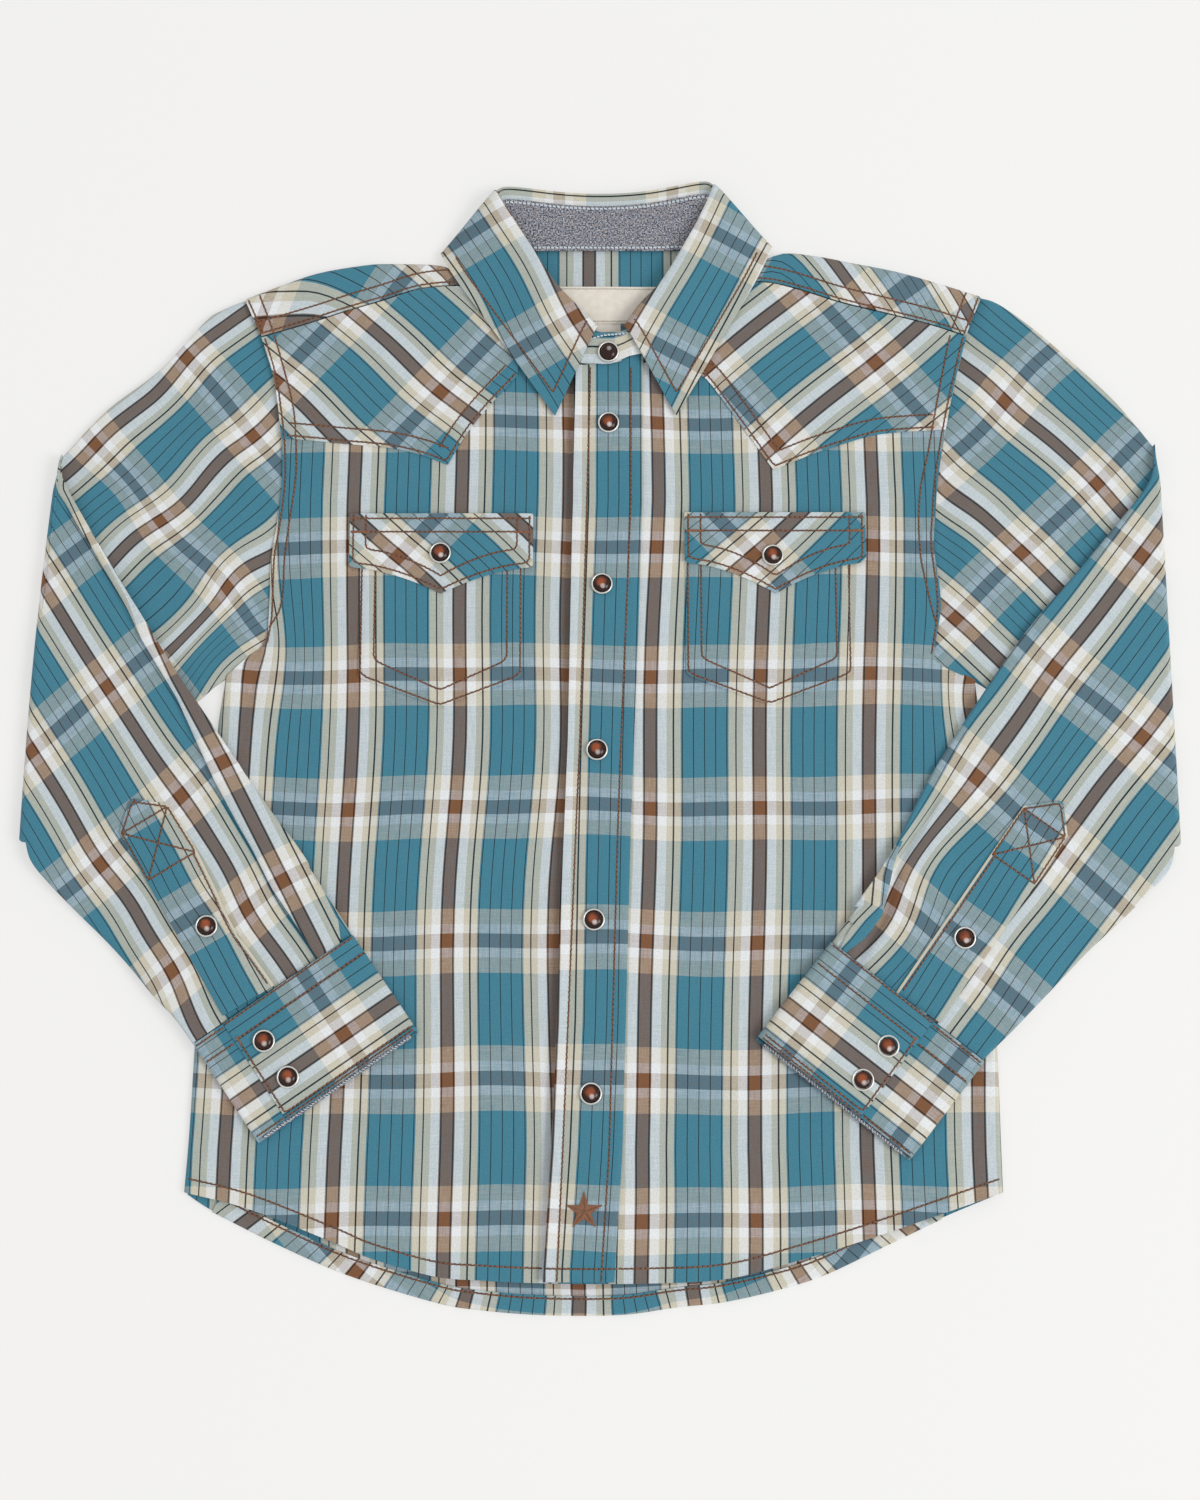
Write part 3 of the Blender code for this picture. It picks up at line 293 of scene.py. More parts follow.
# Brown warp stripes followed along the wavy upper sleeves and the left forearm: number, points
UPPER_STRIPES = {
    "right": [(0, [(-272.8, 130.0), (-265.4, 135.7), (-249.6, 153.9), (-242.1, 160.2),
                   (-233.6, 168.2), (-225.0, 175.1)]),
              (1, [(-246.0, 85.4), (-239.8, 93.2), (-231.3, 100.0), (-213.1, 112.4),
                   (-200.5, 128.3), (-190.9, 139.6), (-168.3, 159.1)]),
              (2, [(-217.2, 36.4), (-207.8, 46.4), (-199.4, 55.2), (-181.6, 78.7), (-174.1, 84.3),
                   (-165.5, 87.6)])],
    "left": [(0, [(186.7, 187.7), (195.3, 180.4), (213.7, 160.7), (223.5, 154.2), (233.3, 145.0),
                  (247.8, 130.7), (264.5, 110.0)]),
             (1, [(173.2, 125.5), (177.4, 119.0), (186.0, 115.1), (194.5, 107.4), (201.8, 101.0),
                  (221.2, 81.7), (228.3, 72.7)])],
}
FOREARM_STRIPES = {
    "right": [
        (0, [
            (-206.4, -35.3), (-198.1, -49), (-187.4, -66.1), (-180.4, -77.4), (-173.2, -92.1),
            (-162.7, -107.8)]),
        (-1, [
            (-229.3, -92.1), (-221.6, -105.6), (-216.9, -112.3), (-209.9, -122.4), (-204.5, -133.5),
            (-195, -153.5)])],
    "left": [
        (0, [
            (207.8, 1.1), (197.5, -12.5), (174.8, -42.2), (161, -58.2), (152.9, -69.2), (146.5, -81.4),
            (144.6, -88.7), (134.6, -104.4)]),
        (-0.275, [(198.4, 14.9), (183.1, -4.5), (169.1, -28.7), (157.6, -47.1), (146.3, -63.1)]),
        (1, [(246, -34.7), (239.3, -43.7), (232, -52.7)]),
        (1.275, [(226.4, -85.9), (217.2, -97.3), (204.2, -112.4), (185.8, -138.7), (173.5, -154.9)])],
}
# Places where a drag on the cloth moves a front's grain: x, y, half width, half height, amount
BODY_DRAGS = {
    "right": [(-160, 36, 15, 30, -3.8), (-172, 46, 8, 14, -5), (-190, -215, 30, 60, -1.4)],
    "left": [(172, 34, 12, 16, 2), (184, 14, 15, 20, 4.8), (180, -20, 12, 16, -1.2)],
}
# The back's brown stripes where they meet its hem: x, number; and height of the brown weft stripe
BACK_WARP = [(-172.5, -3), (-118.5, -2), (-65.9, -1), (-10.3, 0), (45.7, 1), (98.5, 2), (151.2, 3)]
BACK_WEFT = [(-64, -270.8), (-9, -272.1), (118, -264.0)]
FOREARM_GRAIN = {
    "right": [
        (-246.1, 19, 0, 0), (-208.2, -36.7, 0, 1), (-173.7, -92.6, 0, 2), (-246.6, -70.4, -1, 1),
        (-209.4, -122.7, -1, 2)],
    "left": [(273.2, 86, 0, -1), (227.1, 28.2, 0, 0), (186.8, -27.3, 0, 1), (269.8, -6.7, 1, 0)],
}
# One crossing of brown stripes, and the direction of the warp in degrees
YOKE_GRAIN = {"right": (-81.0, 174.0, -42.0), "left": (89.7, 146.1, 40.0)}
SHOULDER_GRAIN = {"right": (-176.0, 216.0, -10.0), "left": (140.8, 220.6, -66.0)}
FLAP_GRAIN = {"right": (-102.2, 85.9, -42.5), "left": (77.7, 86.7, 43.0)}
LEAF_GRAIN = {"right": (-11.6, 212.3, -60.5), "left": (14.0, 205.0, 63.0)}
# Where a brown weft stripe crosses the middle of each sleeve placket
SLEEVE_PLACKET_GRAIN = {"right": (-201.7, -98.1), "left": (173.9, -103.5)}
# Pleats pressed into the forearms beside the body: the fold's edge, a line along the warp with its
# place in the repeat, and a point on a brown weft stripe
PLEAT_EDGE = {
    "right": [
        (-275.4, 130), (-275.8, 124.6), (-274.6, 119.5), (-270.2, 113.2), (-262.6, 100.2), (-255.8, 90),
        (-250.4, 80.7), (-243.8, 70.1), (-236.9, 58.4), (-229.8, 43.5), (-211, 13.2), (-191, -28.5),
        (-179.3, -49.5), (-171, -63.5), (-161.2, -82.3), (-152, -95.6), (-137.9, -117), (-136.4, -119.3)],
    "left": [
        (150, -57), (147.6, -62.5), (144.4, -71), (142.5, -79.4), (140.4, -87.3), (138.3, -95.6),
        (130.7, -105.9), (121.5, -113), (118.2, -115.6)],
}
PLEAT_WARP = {
    "right": [
        (-259, 121), (-255.8, 115), (-241, 85.3), (-228.2, 63.1), (-220.3, 42.5), (-211.3, 23.8),
        (-187, -19.5), (-154.8, -80.8), (-137.9, -113.2)],
    "left": [
        (149.5, -54), (141, -69.1), (139, -76.7), (137.4, -90.7), (129.9, -98.1), (122.3, -107.4),
        (117.6, -112.4)],
}
PLEAT_GRAIN = {"right": (0.0, -187.0, -19.5), "left": (15.2, 140.4, -75.9)}
# Deep creases beside the pleats: points, half width, depth
VALLEYS = {
    "right": [
        ([(-186, -36), (-174, -57), (-160, -82)], 2.6, 0.6),
        ([(-269, 108), (-250, 78), (-230, 41), (-211.5, 12), (-192, -29), (-161, -83),
          (-139, -116)], 3.4, 1.1)],
    "left": [
        ([(167.4, -37.3), (163.2, -44.7), (157.3, -53.3), (151.2, -61.9)], 1.7, 1.3),
        ([
            (156, -55), (151.2, -61.9), (147.2, -69.2), (144.6, -76.5), (143.3, -84), (138.9, -98.3),
            (128, -114)], 2.6, 2.4)],
}
# Brown stripe's depth below the cuff's seam, and where the brown weft crosses, from the lap's corner
CUFF_GRAIN = {"right": (37.7, 62.9), "left": (37.3, 76.8)}

# Soft folds: start x, y, end x, y, bow, half width, height
FRONT_FOLDS = [
    (-158, 40, -120, -20, 6, 9, 0.5), (-150, 60, -128, 20, -4, 7, -0.35),
    (-182, -8, -150, -60, 8, 8, 0.55), (-176, -60, -165, -150, -5, 9, 0.45),
    (-160, -150, -150, -220, 5, 10, 0.5), (-120, -120, -112, -230, 8, 11, -0.4),
    (-60, -150, -52, -240, -6, 9, 0.45), (-40, 40, -36, -60, 5, 9, 0.4), (-150, 120, -132, 60, 5, 8, 0.4),
    (-98, -60, -70, -130, 8, 12, 0.4), (160, 60, 132, 5, -6, 9, 0.5), (182, -5, 150, -70, 8, 9, 0.5),
    (165, -80, 158, -160, 6, 9, 0.45), (150, -160, 146, -225, -5, 10, 0.45),
    (110, -110, 104, -215, 6, 11, -0.4), (60, -140, 52, -235, 5, 9, 0.45), (30, 60, 28, -50, -4, 8, 0.35),
    (100, -30, 78, -110, 7, 12, 0.4), (150, 130, 134, 70, 5, 8, 0.4), (171, 36, 190, 4, 0, 7, -1.6),
    (-170, 38, -178, 6, 0, 6, -1.3)]
UPPER_FOLDS = {
    "right": [
        (-172, 120, -214, 152, 8, 9, 0.9), (-172, 92, -224, 86, -8, 8, 0.8),
        (-188, 190, -226, 172, 4, 9, 0.6), (-190, 60, -222, 30, 6, 8, 0.7),
        (-236, 150, -262, 116, 6, 8, 0.7), (-178, 150, -190, 112, 6, 8, -0.6),
        (-180, 60, -206, 58, 4, 6, -0.6)],
    "left": [
        (182, 128, 232, 130, 8, 9, 0.9), (180, 96, 226, 66, 8, 8, 0.9), (196, 190, 236, 168, -6, 9, 0.7),
        (184, 56, 214, 30, 6, 7, 0.8), (240, 160, 268, 120, -6, 9, 0.7), (186, 158, 206, 118, 6, 8, -0.6),
        (184, 76, 206, 82, 5, 6, -0.6)],
}
FOREARM_FOLDS = {
    "right": [
        (-268, 60, -232, 20, 5, 9, 0.6), (-270, -20, -236, -40, 6, 10, 0.7),
        (-252, -60, -224, -92, -5, 9, 0.6), (-216, -40, -190, -92, 4, 8, 0.6),
        (-228, -96, -204, -138, 4, 8, 0.7), (-240, 30, -216, -10, -4, 8, -0.4),
        (-204, -60, -182, -106, 3, 6, -0.4)],
    "left": [
        (272, 40, 236, 10, -5, 10, 0.6), (272, -30, 240, -60, 6, 10, 0.7), (250, 70, 222, 22, 5, 8, 0.6),
        (232, -90, 210, -136, 4, 8, 0.7), (206, -20, 186, -60, -4, 7, 0.6),
        (170, -70, 150, -118, 4, 6, 0.8), (190, -80, 172, -122, -3, 6, -0.4)],
}


# ---- Small helpers on numbers and arrays ----
def lerp(start, end, amount):
    return start + (end - start) * amount


def run_lengths(points):
    """Distance along a line of points from its first one to each."""
    return np.concatenate([[0], np.cumsum(np.linalg.norm(np.diff(points, axis=0), axis=1))])


def ease(amount):
    amount = np.clip(amount, 0.0, 1.0)
    return amount * amount * (3 - 2 * amount)


def read(table, key, column=1):
    """A column of a table at the value of its first column."""
    rows = np.asarray(table, dtype=float)
    return np.interp(key, rows[:, 0], rows[:, column])


def smooth(table, steps):
    """The table with further rows between its own, on a smooth curve through them."""
    rows = np.asarray(table, dtype=float)
    rows = np.concatenate([2 * rows[:1] - rows[1:2], rows, 2 * rows[-1:] - rows[-2:-1]])
    t = (np.arange(steps) / steps).reshape((-1,) + (1,) * (rows.ndim - 1))
    result = []
    for index in range(len(rows) - 3):
        a, b, c, d = rows[index:index + 4]
        result.append(0.5 * (2 * b + (c - a) * t + (2 * a - 5 * b + 4 * c - d) * t * t
                             + (3 * b - a - 3 * c + d) * t ** 3))
    result.append(rows[-2:-1])
    return np.concatenate(result)


def fine(table, steps=5):
    """A line across the body as a smooth table, kept in order of its first column."""
    rows = smooth(table, steps)
    return rows[np.argsort(rows[:, 0], kind="stable")]


def folds(table, x, y):
    """Height that a table of soft folds adds at a place."""
    total = np.zeros_like(x, dtype=float)
    for start_x, start_y, end_x, end_y, bow, half, rise in table:
        run_x, run_y = end_x - start_x, end_y - start_y
        length = math.hypot(run_x, run_y)
        along = ((x - start_x) * run_x + (y - start_y) * run_y) / length ** 2
        across = ((x - start_x) * run_y - (y - start_y) * run_x) / length
        across = across - bow * 4 * along * (1 - along)
        fade = ease(along * 3 + 0.4) * ease((1 - along) * 3 + 0.4)
        total += rise * fade * np.exp(-(across / half) ** 2)
    return total


def uneven(x, y, size=1.0):
    """Slow unevenness of laid cloth, between about -1 and 1."""
    waves = [(0.061, 0.043, 0.4, 0.30), (-0.037, 0.083, 1.9, 0.26), (0.112, -0.029, 3.1, 0.2),
             (0.021, 0.131, 5.0, 0.16), (-0.154, -0.071, 0.9, 0.12), (0.203, 0.097, 2.2, 0.08)]
    return sum(share * np.sin((kx * x + ky * y) / size + start) for kx, ky, start, share in waves)


def front_lift(x, y):
    """Height of a front's lower face, with its folds, its hem and its swells."""
    height = FRONT_LIFT + 0.12 * uneven(x, y) + folds(FRONT_FOLDS, x, y)
    above_hem = np.maximum(y - read(FRONT_HEM, x), 0.0)
    height = height + (0.75 + 0.45 * np.sin(x / 23 + 1.0)) * np.exp(-above_hem / 7.0)
    for middle_x, middle_y, half_x, half_y, swell in SWELLS:
        away = ((x - middle_x) / half_x) ** 2 + ((y - middle_y) / half_y) ** 2
        height = height + swell * np.exp(-away)
    return height


def front_lap(x, y):
    """How far the left front is lifted by the right one beneath it."""
    inner = read(PLACKET, y, 2)
    return LAYER * (1 - ease((x - inner - 6) / 22))


def yoke_lift(x, y):
    inside = ease((x + 100) / 12) * ease((106 - x) / 12)
    return YOKE_LIFT * inside * ease((y - 206) / 22)


def forearm_lift(side, x, y):
    """Height of a forearm's lower face, which sinks beyond the body and the upper sleeve."""
    near, far = UPPER_SLEEVE[side][0], UPPER_SLEEVE[side][-1]
    along = Vector((far[2] - near[2], far[3] - near[3])).normalized()
    across = (x - near[2]) * along.y - (y - near[3]) * along.x
    side_x = read([(row[1], row[0]) for row in SIDE[side]], y)
    on_sleeve, on_body = -OUT[side] * across, OUT[side] * (side_x - x)
    off_sleeve = 1 - ease((on_sleeve + REST_WIDTH + 5) / REST_WIDTH)
    off_body = 1 - ease((on_body + REST_WIDTH + 5) / REST_WIDTH)
    return FOREARM_LIFT * (1 - off_sleeve * off_body)


def pleat_height(side, x, y, creased=True):
    height = np.zeros_like(x, dtype=float)
    for start_x, start_y, end_x, end_y, half, rise in PLEATS[side]:
        run_x, run_y = end_x - start_x, end_y - start_y
        along = ((x - start_x) * run_x + (y - start_y) * run_y) / (run_x ** 2 + run_y ** 2)
        held = np.clip(along, 0.0, 1.0)
        away = np.hypot(x - start_x - run_x * held, y - start_y - run_y * held)
        height += np.where(along < 1.2, rise * ease(1 - away / half) * ease(along * 3 + 0.4), 0)
    if creased:
        depths = [depth * np.exp(-(line_distance(x, y, line) / half) ** 2)
                  for line, half, depth in VALLEYS[side]]
        height = height - np.maximum(*depths)
    return height + folds(FOREARM_FOLDS[side], x, y) + 0.12 * uneven(x, y)


def forearm_top(side, x, y, creased=True):
    return forearm_lift(side, x, y) + SLEEVE_DEPTH + pleat_height(side, x, y, creased)


def front_top(side, layers):
    """Height of the upper face of what lies on a front, by how many layers up it is."""
    def height(x, y):
        raised = front_lap(x, y) if side == "left" else 0.0
        return front_lift(x, y) + layers * LAYER + WALL + raised
    return height


def spread(length, marks, step):
    """Distances from 0 to a length, close together near the marks and near both ends."""
    stops = {0.0, length}
    for mark in marks:
        for offset in (-2.2, -1.0, 0.0, 1.0, 2.2):
            if 0 < mark + offset < length:
                stops.add(mark + offset)
    stops = sorted(stops)
    result = [0.0]
    for start, end in zip(stops, stops[1:]):
        parts = max(int(math.ceil((end - start) / step)), 1)
        result += [lerp(start, end, part / parts) for part in range(1, parts + 1)]
    return np.array(result)


def stepped(line, pitch):
    """Points along a line at an even distance close to the pitch."""
    points = np.asarray(line, dtype=float)[:, :2]
    lengths = run_lengths(points)
    count = max(int(round(lengths[-1] / pitch)), 1)
    at = np.linspace(0, lengths[-1], count + 1)
    return np.column_stack([np.interp(at, lengths, points[:, 0]),
                            np.interp(at, lengths, points[:, 1])])


def line_distance(x, y, line):
    """Distance of each place from a line of points."""
    best = np.full(np.shape(x), 1e9)
    points = np.asarray(line, dtype=float)[:, :2]
    for (ax, ay), (bx, by) in zip(points[:-1], points[1:]):
        run_x, run_y = bx - ax, by - ay
        size = max(run_x ** 2 + run_y ** 2, 1e-9)
        along = np.clip(((x - ax) * run_x + (y - ay) * run_y) / size, 0, 1)
        best = np.minimum(best, np.hypot(x - ax - run_x * along, y - ay - run_y * along))
    return best


def sunk(x, y, lines, depth=0.35):
    """How far sewing draws the cloth down, with slight puckers beside it."""
    drop = np.zeros(np.shape(x))
    for line in lines:
        away = line_distance(x, y, line)
        pucker = 0.5 + 0.5 * np.sin(0.9 * x + 1.1 * y + 2 * np.sin(0.23 * x - 0.19 * y))
        drop = np.maximum(drop, depth * (0.7 + 0.5 * pucker) * np.exp(-(away / 1.5) ** 2))
        drop = drop + 0.10 * pucker * np.exp(-(away / 5.0) ** 2)
    return drop


def inset(line, distance):
    """A line moved sideways to its left, with mitred corners."""
    points = np.asarray(line, dtype=float)[:, :2]
    runs = np.diff(points, axis=0)
    runs /= np.maximum(np.linalg.norm(runs, axis=1, keepdims=True), 1e-9)
    lefts = np.stack([-runs[:, 1], runs[:, 0]], axis=1)
    first = np.concatenate([lefts[:1], lefts])
    last = np.concatenate([lefts, lefts[-1:]])
    middle = first + last
    middle /= np.maximum(np.linalg.norm(middle, axis=1, keepdims=True), 1e-9)
    stretch = np.maximum((middle * first).sum(axis=1, keepdims=True), 0.35)
    return points + middle * distance / stretch


# ---- Grain: how far a place of a panel lies across and along the warp of its flat cloth ----
def body_grain(side):
    table = fine(BODY_WARP[side])
    weft = np.array(BODY_WEFT, dtype=float)

    def grain(x, y):
        first, second = read(table, y, 1), read(table, y, 2)
        u = (x - first) / (second - first) * WARP_REPEAT
        low = (weft[1, 1] - weft[0, 1]) / (weft[1, 0] - weft[0, 0])
        number = np.interp(y, weft[:, 0], weft[:, 1])
        number = number + np.minimum(y - weft[0, 0], 0) * low + np.maximum(y - weft[-1, 0], 0) * low
        wave = 0.8 * np.sin(x / 31 + 0.7 * np.sin(y / 60)) + 0.5 * np.sin(x / 13 + y / 47)
        for at_x, at_y, half_x, half_y, amount in BODY_DRAGS[side]:
            u = u + amount * np.exp(-((x - at_x) / half_x) ** 2 - ((y - at_y) / half_y) ** 2)
        return u + 0.6 * np.sin(y / 27 + x / 80), number * WEFT_REPEAT + wave
    return grain


def placket_grain(x, y):
    teal = read(PLACKET_WARP, y)
    v = body_grain("left")(x, y)[1]
    return x - teal + WARP_REPEAT / 2, v - 1.5 * ease((40 - y) / 150)


def straight_grain(mark_x, mark_y, degrees):
    """Brown stripes cross at the mark, and the warp runs at an angle."""
    cos, sin = math.cos(math.radians(degrees)), math.sin(math.radians(degrees))

    def grain(x, y):
        bend = 0.7 * np.sin((x * cos + y * sin) / 17) + 0.5 * np.sin(y / 11 - x / 19)
        away_x, away_y = x - mark_x, y - mark_y
        return -away_x * sin + away_y * cos + bend, away_x * cos + away_y * sin
    return grain


def marked_grain(marks, stripes):
    """Grain through a table of marks and along stripes: a level map, and smooth bends to fit."""
    table = np.array(marks, dtype=float)
    places = np.column_stack([table[:, :2], np.ones(len(table))])
    wanted = table[:, 2:] * (WARP_REPEAT, WEFT_REPEAT)
    level = np.linalg.lstsq(places, wanted, rcond=None)[0]
    on_stripes = np.array([(x, y, number) for number, line in stripes for x, y in line]
                          + [tuple(row[:3]) for row in table])
    reach = 26.0
    bends = []
    for axis, known in ((0, on_stripes), (1, table[:, [0, 1, 3]])):
        left_over = known[:, 2] * (WARP_REPEAT, WEFT_REPEAT)[axis] - (
            np.column_stack([known[:, :2], np.ones(len(known))]) @ level[:, axis])
        apart = np.linalg.norm(known[:, None, :2] - known[None, :, :2], axis=2)
        kernel = np.exp(-(apart / reach) ** 2) + 0.06 * np.eye(len(known))
        bends.append((known, np.linalg.solve(kernel, left_over)))

    def grain(x, y):
        result = []
        for axis, (known, pulls) in enumerate(bends):
            bend = 0.4 * np.sin((x + axis * y) / 15) * np.sin(y / 21)
            for (mark_x, mark_y, _), pull in zip(known, pulls):
                bend = bend + pull * np.exp(-((x - mark_x) ** 2 + (y - mark_y) ** 2) / reach ** 2)
            result.append(level[0, axis] * x + level[1, axis] * y + level[2, axis] + bend)
        return result[0], result[1]
    return grain


def mirrored(grain, start, end, gap):
    """The grain on the far side of a fold along a line, with the cloth that the turn takes up."""
    start, end = np.array(start, dtype=float), np.array(end, dtype=float)
    run = (end - start) / np.linalg.norm(end - start)
    normal = np.array([-run[1], run[0]])

    def turned(x, y):
        away = (x - start[0]) * normal[0] + (y - start[1]) * normal[1]
        shift = -2 * away + np.sign(-away) * gap
        return grain(x + normal[0] * shift, y + normal[1] * shift)
    return turned


# ---- Materials ----
class Nodes:
    """Short ways to add, feed and read the nodes of one tree."""

    def __init__(self, tree):
        self.tree = tree

    def add(self, kind, **settings):
        node = self.tree.nodes.new("ShaderNode" + kind)
        for name, value in settings.items():
            setattr(node, name, value)
        return node

    def feed(self, node, values):
        """Give inputs, by name or number, a constant or what is joined to them."""
        for key, value in values.items():
            if isinstance(value, (int, float, tuple)):
                node.inputs[key].default_value = value
            else:
                self.tree.links.new(value, node.inputs[key])
        return node.outputs

    def math(self, operation, *values):
        return self.feed(self.add("Math", operation=operation), dict(enumerate(values)))[0]

    def scaled(self, value, factor, offset=0.0):
        return self.math("MULTIPLY_ADD", value, factor, offset)

    def held(self, value, most):
        """The value, kept between 0 and the most that it may be."""
        return self.math("MINIMUM", self.math("MAXIMUM", value, 0.0), most)

    def vector(self, x, y):
        return self.feed(self.add("CombineXYZ"), {0: x, 1: y})[0]

    def split(self, vector):
        return self.feed(self.add("SeparateXYZ"), {0: vector})

    def noise(self, vector, scale, detail=2.0, roughness=0.5):
        values = {"Vector": vector, "Scale": scale, "Detail": detail, "Roughness": roughness}
        return self.feed(self.add("TexNoise"), values)["Fac"]

    def mix(self, factor, first, second):
        return self.feed(self.add("Mix", data_type="RGBA"), {0: factor, 6: first, 7: second})[2]

    def bump(self, height, strength, distance):
        values = {"Height": height, "Strength": strength, "Distance": distance}
        return self.feed(self.add("Bump"), values)[0]

    def cloth_place(self):
        return self.add("UVMap", uv_map="Cloth").outputs[0]

    def object_place(self):
        return self.add("TexCoord").outputs["Object"]

    def stripes(self, position, table):
        """Colour stripes over one repeat, with the threads that hide the weft in the alpha."""
        node = self.add("ValToRGB")
        node.color_ramp.interpolation = "CONSTANT"
        stops = node.color_ramp.elements
        total, place = sum(width for width, _ in table), 0.0
        for index, (width, colour) in enumerate(table):
            stop = stops[index] if index < 2 else stops.new(place / total)
            stop.position = place / total
            stop.color = colour + (0.0 if colour is INK else 1.0,)
            place += width
        return self.feed(node, {0: position})


def new_group(name, outputs, thread=0.0):
    """A node group that takes a place on the cloth, and the width of a thread if it has one."""
    group = bpy.data.node_groups.new(name, "ShaderNodeTree")
    new_socket = group.interface.new_socket
    new_socket("Cloth", in_out="INPUT", socket_type="NodeSocketVector")
    if thread:
        socket = new_socket("Thread", in_out="INPUT", socket_type="NodeSocketFloat")
        socket.default_value = thread
    for output in outputs:
        kind = "NodeSocketColor" if output == "Color" else "NodeSocketFloat"
        new_socket(output, in_out="OUTPUT", socket_type=kind)
    source, result = group.nodes.new("NodeGroupInput"), group.nodes.new("NodeGroupOutput")
    return group, Nodes(group), source.outputs, result


def make_thread_group():
    """Single threads of a plain weave: which one is on top, their crowns and their unevenness."""
    group, n, source, result = new_group(
        "Plain weave", ("Warp on top", "Height", "Warp slub", "Weft slub"), SHIRTING_THREAD)
    x, y, _ = n.split(source["Cloth"])
    across, along = n.math("DIVIDE", x, source["Thread"]), n.math("DIVIDE", y, source["Thread"])
    crown_across, crown_along = (
        n.math("ABSOLUTE", n.math("SINE", n.math("MULTIPLY", place, math.pi)))
        for place in (across, along))
    cell = n.math("ADD", n.math("FLOOR", across), n.math("FLOOR", along))
    on_top = n.math("FLOORED_MODULO", cell, 2.0)
    warp_part = n.math("MULTIPLY", n.math("MULTIPLY", crown_across, on_top), 0.9)
    under = n.math("SUBTRACT", 1.0, on_top)
    weft_part = n.math("MULTIPLY", n.math("MULTIPLY", crown_along, under), 0.75)
    warp_place = n.vector(n.math("MULTIPLY", x, 2200.0), n.math("MULTIPLY", y, 90.0))
    weft_place = n.vector(n.math("MULTIPLY", x, 90.0), n.math("MULTIPLY", y, 2200.0))
    n.feed(result, {"Warp on top": on_top, "Height": n.math("ADD", warp_part, weft_part),
                    "Warp slub": n.noise(warp_place, 1.0), "Weft slub": n.noise(weft_place, 1.0)})
    return group


def woven_group(name, threads, thread):
    """A group for one cloth, with its threads in place and their height put out."""
    group, n, source, result = new_group(name, ("Color", "Height", "Roughness"))
    weave = n.feed(n.add("Group", node_tree=threads), {"Cloth": source["Cloth"], "Thread": thread})
    n.feed(result, {"Height": weave["Height"]})
    return group, n, source["Cloth"], weave, result


def make_plaid_group(threads):
    group, n, place, weave, result = woven_group("Woven plaid", threads, SHIRTING_THREAD)
    x, y, _ = n.split(place)
    warp, cover = n.stripes(n.math("FRACT", n.math("DIVIDE", x, WARP_REPEAT * MM)), WARP)
    weft = n.stripes(n.math("FRACT", n.math("DIVIDE", y, WEFT_REPEAT * MM)), WEFT)[0]
    # The weft shows a little less or more from one crossing to the next
    shown = n.scaled(weave["Warp on top"], -0.2, WEFT_SHARE + 0.1)
    slub = n.math("SUBTRACT", weave["Weft slub"], weave["Warp slub"])
    shown = n.math("MULTIPLY", n.scaled(slub, 0.35, shown), n.scaled(cover, 0.75, 0.25))
    # Fibres catch the light unevenly, from thread to thread and over a hand's width
    fleck, patch = n.noise(place, 1250.0, 2.0, 0.7), n.noise(place, 26.0, 3.0)
    light = n.math("MULTIPLY", n.scaled(fleck, 0.56, 0.72), n.scaled(patch, 0.08, 0.96))
    toned = n.feed(n.add("HueSaturation"), {"Color": n.mix(shown, warp, weft), "Value": light})
    n.feed(result, {"Color": toned[0], "Roughness": n.scaled(weave["Weft slub"], 0.2, 0.7)})
    return group


def make_chambray_group(threads):
    group, n, place, weave, result = woven_group("Chambray", threads, CHAMBRAY_THREAD)
    fleck = n.noise(place, 1150.0, 2.0, 0.8)
    shown = n.scaled(weave["Warp on top"], -0.24, 0.42)
    shown = n.scaled(n.math("SUBTRACT", fleck, 0.5), 3.4, shown)
    shown = n.scaled(n.math("SUBTRACT", weave["Weft slub"], 0.5), 0.5, shown)
    woven = n.mix(shown, (0.020, 0.030, 0.068, 1), (0.68, 0.68, 0.72, 1))
    tan = n.held(n.scaled(n.noise(place, 780.0, 1.0), 9.0, -5.4), 0.55)
    n.feed(result, {"Color": n.mix(tan, woven, (0.36, 0.25, 0.17, 1)),
                    "Roughness": n.scaled(fleck, 0.2, 0.75)})
    return group


def new_material(name):
    material = bpy.data.materials.new(name)
    material.use_nodes = True
    return material, Nodes(material.node_tree), material.node_tree.nodes["Principled BSDF"]


def cloth_material(name, weave, sheen):
    material, n, shader = new_material(name)
    woven = n.feed(n.add("Group", node_tree=weave), {"Cloth": n.cloth_place()})
    n.feed(shader, {
        "Base Color": woven["Color"], "Roughness": woven["Roughness"],
        "Specular IOR Level": 0.25, "Sheen Weight": sheen, "Sheen Roughness": 0.5,
        "Normal": n.bump(woven["Height"], 0.5, 0.00012)})
    return material


def label_material():
    """Cream satin, close woven, with a faint rib."""
    material, n, shader = new_material("Cream satin label")
    place = n.cloth_place()
    rib = n.math("SINE", n.math("MULTIPLY", n.split(place)[1], 2 * math.pi / LABEL_RIB))
    mottle = n.noise(place, 300.0, 3.0)
    n.feed(shader, {
        "Base Color": n.mix(mottle, (0.68, 0.62, 0.53, 1), (0.86, 0.82, 0.75, 1)),
        "Roughness": n.scaled(mottle, 0.2, 0.45), "Sheen Weight": 0.15,
        "Normal": n.bump(rib, 0.3, 0.00008)})
    return material


